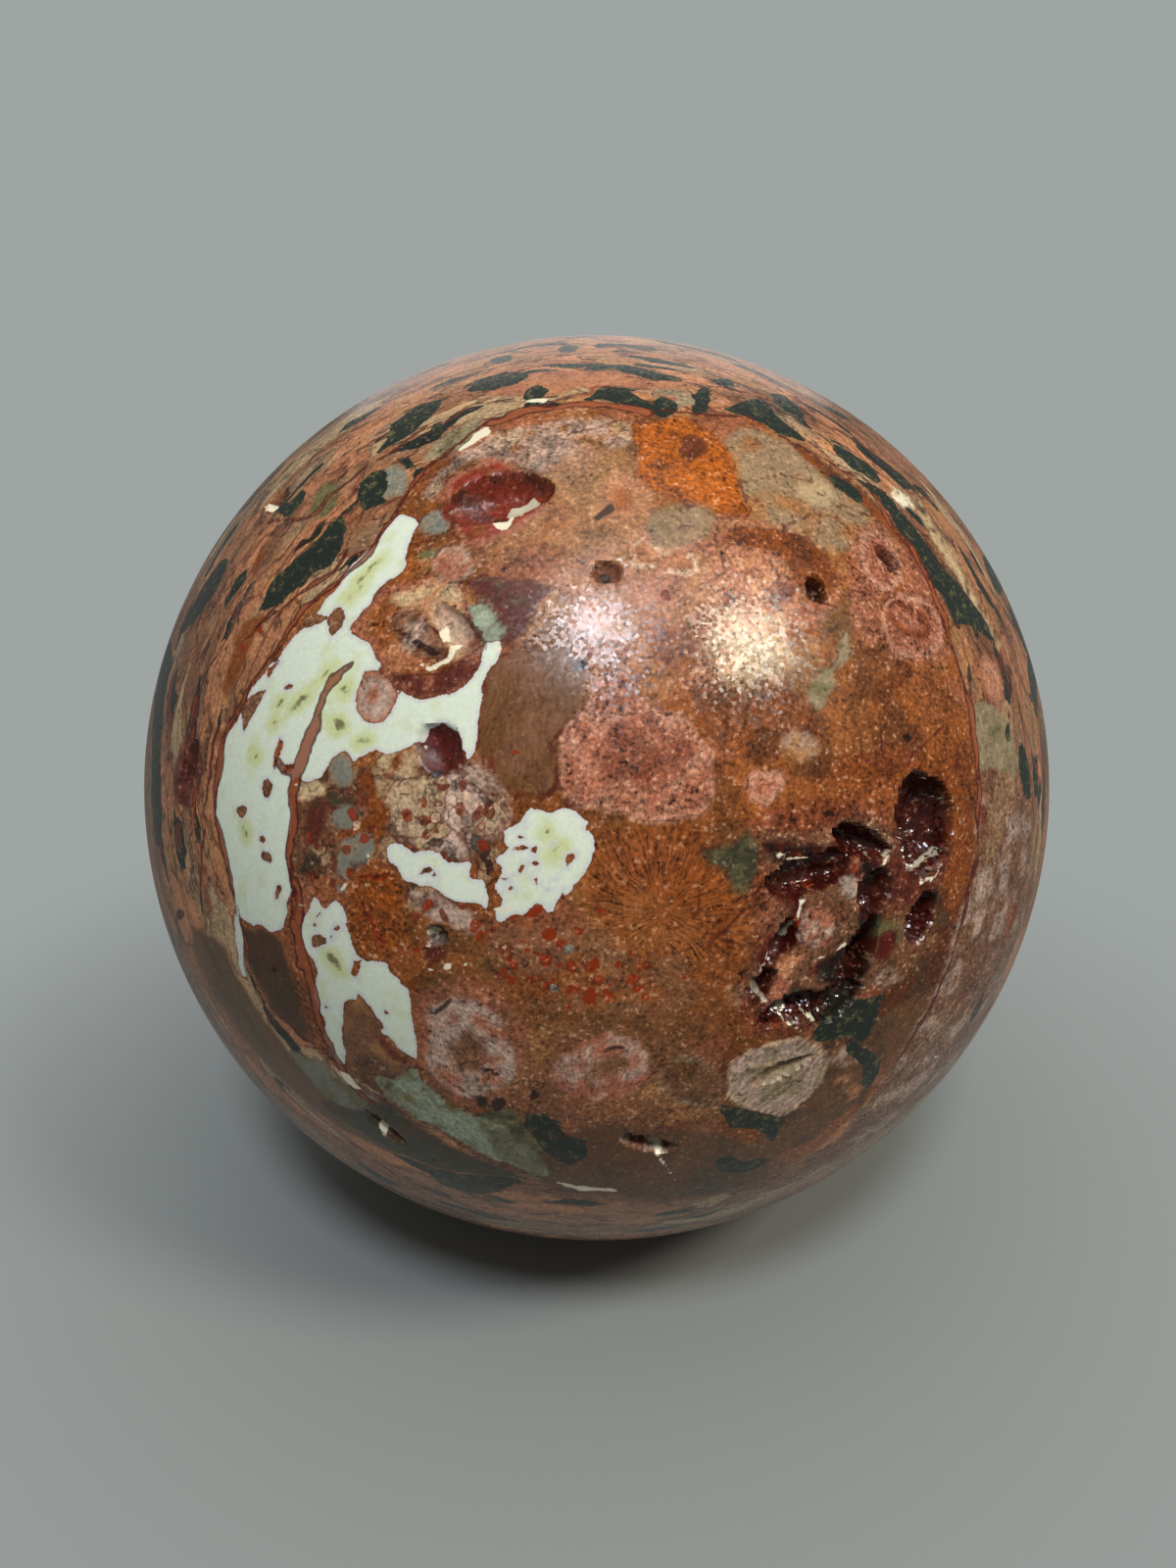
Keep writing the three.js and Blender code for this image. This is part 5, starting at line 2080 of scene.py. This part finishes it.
@dataclass(frozen=True)
class StoneFinish:
    """Polished breccia: waxy mint, dark green shards, red-brown veins, and sugary crystal between them."""

    wobble_mm: float = 0.9
    sugar_mm: float = 0.34
    mist_mm: float = 2.2
    sparkle_mm: float = 0.28
    drift_mm: float = 2.4
    drift_reach_mm: float = 1.6
    crumb_mm: float = 1.3
    shard_mm: float = 3.4
    thread_mm: float = 2.6
    fibre_mm: float = 0.22
    polish: float = 0.26
    sugar_tilt: float = 0.13
    glass_tilt: float = 0.2
    least_tilt: float = 0.02
    ior: float = 1.47

    def texture(self, graph: Graph) -> StoneTexture:
        """Make the noises and crystal cells.

        Args:
            graph: the material's nodes.

        Returns:
            What the markings share.
        """
        place = graph.place_mm()
        grain = graph.held("grain_mm", "Vector")
        drifted = graph.drift(grain, self.drift_mm, self.drift_reach_mm)
        return StoneTexture(
            graph=graph,
            grain=grain,
            wobble=graph.noise(place, self.wobble_mm, 3, 0.65) - 0.5,
            fine=graph.noise(place, self.sugar_mm, 2, 0.7) - 0.5,
            mist=graph.noise(place, self.mist_mm, 3, 0.6),
            flecks=graph.cells(place, self.sparkle_mm),
            drifted=drifted,
            crumbs=graph.cells(drifted, self.crumb_mm),
        )

    def broken(self, texture: StoneTexture, tone: Value) -> Value:
        """Break the stone outside the heart into shards along its bedding.

        Args:
            texture: the shared noises and cells.
            tone: the colour so far.

        Returns:
            The colour with the shards.
        """
        graph = texture.graph
        shards = graph.cells(texture.drifted, self.shard_mm)
        light = 0.66 + 0.42 * graph.chance(shards) + 0.42 * graph.chance(texture.crumbs)
        broken = graph.scale(tone, light)
        hue = graph.chance(shards, 1)
        broken = graph.mix(graph.rise(hue, 0.66, 0.74) * 0.55, broken, Tone.ROSE_BROWN)
        broken = graph.mix(graph.rise(hue, 0.82, 0.86) * 0.7, broken, Tone.PALE_TAN)
        dark = graph.rise(graph.chance(texture.crumbs) + 0.3 * graph.noise(texture.grain, 6.0), 1.03, 1.07)
        broken = graph.mix(dark, broken, Tone.DARK_GREEN)
        seams = graph.cells(texture.drifted, self.shard_mm, "DISTANCE_TO_EDGE")
        line = 1 - graph.rise(seams, 0.008, 0.04)
        broken = graph.mix(line * 0.7, broken, Tone.RED_BROWN)
        flow = graph.noise(texture.grain + 50, self.thread_mm, 2, 0.6) - 0.5
        thread = 1 - graph.rise(flow * flow, 0.0, 0.0006)
        broken = graph.mix(thread * 0.65, broken, Tone.BLACK_RED)
        return graph.mix(graph.held(Layer.OUTER), tone, broken)

    def chipped(self, texture: StoneTexture, tone: Value) -> Value:
        """Sow small red-brown and pale chips where the stone is crumbly.

        Args:
            texture: the shared noises and cells.
            tone: the colour so far.

        Returns:
            The colour with the chips.
        """
        graph, crumbs = texture.graph, texture.crumbs
        density = graph.held(Layer.CHIPS)
        chosen = graph.rise(graph.chance(crumbs) + density, 1.0, 1.02)
        chip = (1 - graph.rise(crumbs, 0.36, 0.42)) * chosen
        hue = graph.rise(graph.chance(crumbs, 1) + 0.6 * texture.wobble, 0.35, 0.7)
        chipped = graph.mix(chip * 0.9, tone, graph.mix(hue, Tone.RED_BROWN, Tone.CHIP_RED))
        pale = graph.rise(density - graph.chance(crumbs), 0.46, 0.48) * (1 - graph.rise(crumbs, 0.30, 0.36))
        return graph.mix(pale * 0.8, chipped, graph.mix(hue, Tone.PINK_CREAM, Tone.GREY))

    def sugared(self, texture: StoneTexture, tone: Value) -> Value:
        """Add the crystal grain, the fibres and the small dark pores.

        Args:
            texture: the shared noises and cells.
            tone: the colour so far.

        Returns:
            The colour with its grain.
        """
        graph = texture.graph
        sugar = graph.held(Layer.SUGAR)
        fine = texture.fine + 0.45 * texture.wobble + 0.5 * (texture.mist - 0.5)
        sparkle = graph.chance(texture.flecks) - 0.5
        threads = graph.noise(texture.grain, self.fibre_mm, 2, 0.6) - 0.5
        light = 1.0 + (0.25 + sugar) * (2.5 * fine + 0.45 * sparkle) + graph.held(Layer.FIBRE) * threads * 3.4
        grained = graph.scale(tone, light)
        pale = graph.rise(sparkle + fine, 0.42, 0.60) * sugar * 0.5
        grained = graph.mix(pale, grained, Tone.PINK_CREAM)
        pore = graph.rise(sparkle + 1.6 * fine, -0.66, -0.80) * 0.7
        return graph.mix(pore, grained, Tone.DARK_RED)

    def sharded(self, texture: StoneTexture, tone: Value) -> Value:
        """Lay the red spots, the dark green shards and the thin seams round fragments.

        Args:
            texture: the shared noises and cells.
            tone: the colour so far.

        Returns:
            The colour with them.
        """
        graph = texture.graph
        tone = graph.mix(texture.inside(Layer.RED, 1.0, -0.04, 0.05), tone, Tone.CHIP_RED)
        mottle = graph.rise(texture.wobble + 0.8 * texture.fine, 0.02, 0.30)
        shard = graph.mix(mottle, Tone.DARK_GREEN, Tone.OLIVE)
        tone = graph.mix(texture.inside(Layer.GREEN, 0.9, -0.04, 0.10), tone, shard)
        return graph.mix(texture.inside(Layer.SEAM, 0.3, -0.10, 0.02) * 0.7, tone, Tone.DARK_RED)

    def mint(self, texture: StoneTexture, depth_mm: Value) -> Value:
        """The waxy inside of the mint patches, lilac at its edge and stained olive.

        Args:
            texture: the shared noises and cells.
            depth_mm: how deep a point lies in a patch.

        Returns:
            The mint's colour.
        """
        graph = texture.graph
        stain_mm = graph.held(Layer.STAIN) + texture.wobble * 1.1
        shade = graph.rise(texture.mist, 0.50, 0.74) * 0.6 + graph.rise(stain_mm, -1.3, 0.0)
        wax = graph.mix(shade, Tone.MINT, Tone.MINT_SHADE)
        lilac = 1 - graph.rise(depth_mm, 0.05, 0.5)
        wax = graph.scale(graph.mix(lilac * 0.6, wax, Tone.LILAC), 1.0 + 0.3 * texture.fine)
        return graph.mix(graph.rise(stain_mm, -0.15, 0.2) * 0.9, wax, Tone.OLIVE)

    def veined(self, texture: StoneTexture, tone: Value) -> Value:
        """Draw the veins, the cream crystal edges with their painted glints, and the dark cracks.

        Args:
            texture: the shared noises and cells.
            tone: the colour so far.

        Returns:
            The colour with them.
        """
        graph = texture.graph
        vein_mm = graph.held(Layer.VEIN) + texture.wobble * 0.35
        middle = graph.rise(vein_mm + texture.fine * 0.3, 0.12, 0.3)
        vein_tone = graph.mix(middle, Tone.DARK_RED, Tone.VEIN)
        tone = graph.mix(graph.rise(vein_mm, -0.05, 0.06) * 0.9, tone, vein_tone)
        # Cream flakes and painted glints.
        tone = graph.mix(texture.inside(Layer.FLAKE_AND_GLINT, 0.5, -0.05, 0.08), tone, Tone.CREAM)
        return graph.mix(texture.inside(Layer.DARK, 0.2, -0.08, 0.12) * 0.9, tone, Tone.BLACK_RED)

    def lined(self, texture: StoneTexture, tone: Value) -> Value:
        """Line the glassy pockets with dark red crystal.

        Args:
            texture: the shared noises and cells.
            tone: the colour so far.

        Returns:
            The colour with the linings.
        """
        graph = texture.graph
        gleam = graph.rise(graph.chance(texture.flecks) + texture.wobble, 0.80, 1.0)
        lining = graph.mix(gleam * 0.4, Tone.BLACK_RED, Tone.RED)
        return graph.mix(graph.held(Layer.GLASS) * 0.55, tone, lining)

    def material(self) -> bpy.types.Material:
        """Build the nodes.

        Returns:
            The material.
        """
        graph = Graph("polished_breccia")
        texture = self.texture(graph)
        tone = graph.held("tone", "Color")
        for lay in (self.broken, self.chipped, self.sugared, self.sharded):
            tone = lay(texture, tone)
        mint_mm = graph.held(Layer.MINT) + texture.wobble * 0.5 + texture.fine * 0.16
        mint = graph.rise(mint_mm, -0.03, 0.06)
        outline = graph.rise(mint_mm, -0.16, -0.03)
        tone = graph.mix(outline * 0.6, tone, Tone.RED_BROWN)
        tone = graph.mix(mint, tone, self.mint(texture, mint_mm))
        tone = self.lined(texture, self.veined(texture, tone))
        glass = graph.held(Layer.GLASS)
        rough = self.polish + 0.2 * texture.wobble - 0.12 * glass + 0.4 * graph.held(Layer.DULL)
        sugar_tilt = self.sugar_tilt * graph.held(Layer.SUGAR) * (1 - mint)
        normal = graph.tilted(texture.flecks, self.least_tilt + sugar_tilt + self.glass_tilt * glass)
        return graph.finish({"Base Color": tone, "Roughness": rough, "IOR": self.ior, "Normal": normal})


@dataclass(frozen=True)
class CrystalFinish:
    """Small glassy crystals, garnet red, nearly black and a few of them cream, partly as painted glints."""

    cloud_mm: float = 0.5
    roughness: float = 0.1
    ior: float = 1.6

    def material(self) -> bpy.types.Material:
        """Build the nodes.

        Returns:
            The material.
        """
        graph = Graph("pocket_crystals")
        shade = graph.held("shade")
        cloud = graph.noise(graph.place_mm(), self.cloud_mm, 3)
        red = graph.mix(cloud, Tone.BLACK_RED, Tone.GARNET)
        red = graph.mix(graph.rise(shade, 0.30, 0.65), red, Tone.BLACK_RED)
        # A few crystals are cream: partly pale crystal, partly painted glints.
        tone = graph.mix(graph.rise(shade, 0.94, 0.96) * 0.7, red, Tone.CREAM)
        return graph.finish({"Base Color": tone, "Roughness": self.roughness, "IOR": self.ior})


@dataclass(frozen=True)
class FloorFinish:
    """The studio's pale grey floor, which fades away outwards so that no edge shows."""

    tone: Colour = (0.26, 0.28, 0.27, 1)
    roughness: float = 0.7
    near_mm: float = 30
    far_mm: float = 130

    def material(self) -> bpy.types.Material:
        """Build the nodes.

        Returns:
            The material.
        """
        graph = Graph("pale_floor")
        place = graph.place_mm()
        away = graph.add("ShaderNodeVectorMath", {"operation": "LENGTH"}, {0: place}, "Value")
        solid = 1 - graph.rise(away, self.near_mm, self.far_mm)
        sockets = {"Base Color": self.tone, "Roughness": self.roughness, "Alpha": solid}
        return graph.finish(sockets | {"Specular IOR Level": 0.0})


@dataclass(frozen=True)
class Lamp:
    """A round soft light, placed so that the polished ball mirrors it at one pixel of the picture."""

    name: str
    mirrored_px: Pair
    away_m: float
    size_m: float
    watts: float
    colour: tuple[float, float, float]

    def place(self, view: PictureView) -> bpy.types.Object:
        """Make the light.

        Args:
            view: the picture's camera.

        Returns:
            The light, facing the ball.
        """
        normal = view.onto((self.mirrored_px,))[0]
        spot = normal * view.radius_mm
        seen = unit(view.eye() - spot)
        ray = 2 * (normal @ seen) * normal - seen
        light = bpy.data.lights.new(self.name, "AREA")
        light.shape = "DISK"
        light.size = self.size_m
        light.energy = self.watts
        light.color = self.colour
        lamp = bpy.data.objects.new(self.name, light)
        turn = Vector(ray).to_track_quat("Z", "Y").to_matrix().to_4x4()
        centre = Vector((0, 0, view.centre_height_mm * MM))
        lamp.matrix_world = Matrix.Translation(centre + Vector(spot * MM + ray * self.away_m)) @ turn
        lamp.visible_camera = False
        bpy.context.scene.collection.objects.link(lamp)
        return lamp


@dataclass
class Studio:
    """The camera, the pale floor and the soft lights."""

    view: PictureView
    near_clip_m: float = 0.001
    floor_radius_m: float = 0.2
    floor_sides: int = 96
    backdrop: Colour = (0.345, 0.375, 0.365, 1)
    ambient: Colour = (0.15, 0.155, 0.15, 1)
    lamps: tuple[Lamp, ...] = (
        Lamp("cool_window", (606, 646), 0.9, 0.18, 4.7, (0.88, 0.91, 1.0)),
        Lamp("warm_lamp", (764, 650), 0.9, 0.22, 4.5, (1.0, 0.92, 0.80)),
        Lamp("overhead_softbox", (600, 545), 1.2, 1.0, 2.4, (1.0, 0.98, 0.95)),
        Lamp("back_softbox", (600, 352), 1.2, 1.0, 1.4, (1.0, 1.0, 1.0)),
    )

    def set_camera(self) -> None:
        """Stand the camera where the picture was seen from."""
        camera = bpy.data.cameras.new("picture_camera")
        camera.sensor_width = self.view.sensor_mm
        camera.lens = self.view.focal_px / self.view.height_px * self.view.sensor_mm
        camera.clip_start = self.near_clip_m
        seen = bpy.data.objects.new("picture_camera", camera)
        eye = (self.view.eye() + (0, 0, self.view.centre_height_mm)) * MM
        turn = Matrix(self.view.axes()).transposed().to_4x4()
        seen.matrix_world = Matrix.Translation(eye) @ turn
        bpy.context.scene.collection.objects.link(seen)
        bpy.context.scene.camera = seen

    def lay_floor(self) -> None:
        """A wide round floor under the ball."""
        disc = bmesh.new()
        bmesh.ops.create_circle(disc, cap_ends=True, segments=self.floor_sides, radius=self.floor_radius_m)
        mesh = bpy.data.meshes.new("pale_floor")
        disc.to_mesh(mesh)
        disc.free()
        floor = bpy.data.objects.new("pale_floor", mesh)
        mesh.materials.append(FloorFinish().material())
        bpy.context.scene.collection.objects.link(floor)

    def light(self) -> None:
        """An even grey room and a few soft lamps."""
        world = bpy.data.worlds.new("grey_room")
        world.use_nodes = True
        tree = world.node_tree
        seen = tree.nodes.new("ShaderNodeLightPath")
        shade = tree.nodes.new("ShaderNodeMix")
        shade.data_type = "RGBA"
        shade.inputs[MIX_FIRST].default_value = self.ambient
        shade.inputs[MIX_SECOND].default_value = self.backdrop
        tree.links.new(seen.outputs["Is Camera Ray"], shade.inputs[MIX_SHARE])
        tree.links.new(shade.outputs[MIX_RESULT], tree.nodes["Background"].inputs["Color"])
        bpy.context.scene.world = world
        bpy.context.scene.view_settings.view_transform = "Standard"
        for lamp in self.lamps:
            lamp.place(self.view)

    def build(self) -> None:
        """Set up the whole studio."""
        self.set_camera()
        self.lay_floor()
        self.light()


def dress(piece: bpy.types.Object) -> None:
    """Tie a piece to the model and report it.

    Args:
        piece: the finished piece.
    """
    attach(piece, BODY)
    triangles = sum(len(face.vertices) - 2 for face in piece.data.polygons)
    LOG.info("%s: %d triangles", piece.name, triangles)


def main() -> None:
    """Build the stone, its crystals and the studio, sized from the solid's box."""
    logging.basicConfig(level=logging.INFO, format="%(message)s")
    low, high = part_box(NODE)
    radius_mm = (high.x - low.x) / 2 / MM
    view = PictureView(radius_mm=radius_mm, centre_height_mm=high.z / MM - radius_mm)
    stone = PolishedStone(view).build()
    dress(stone)
    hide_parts(NODE)
    dress(PocketCrystals(view).build())
    Studio(view).build()


if __name__ == "__main__":
    main()
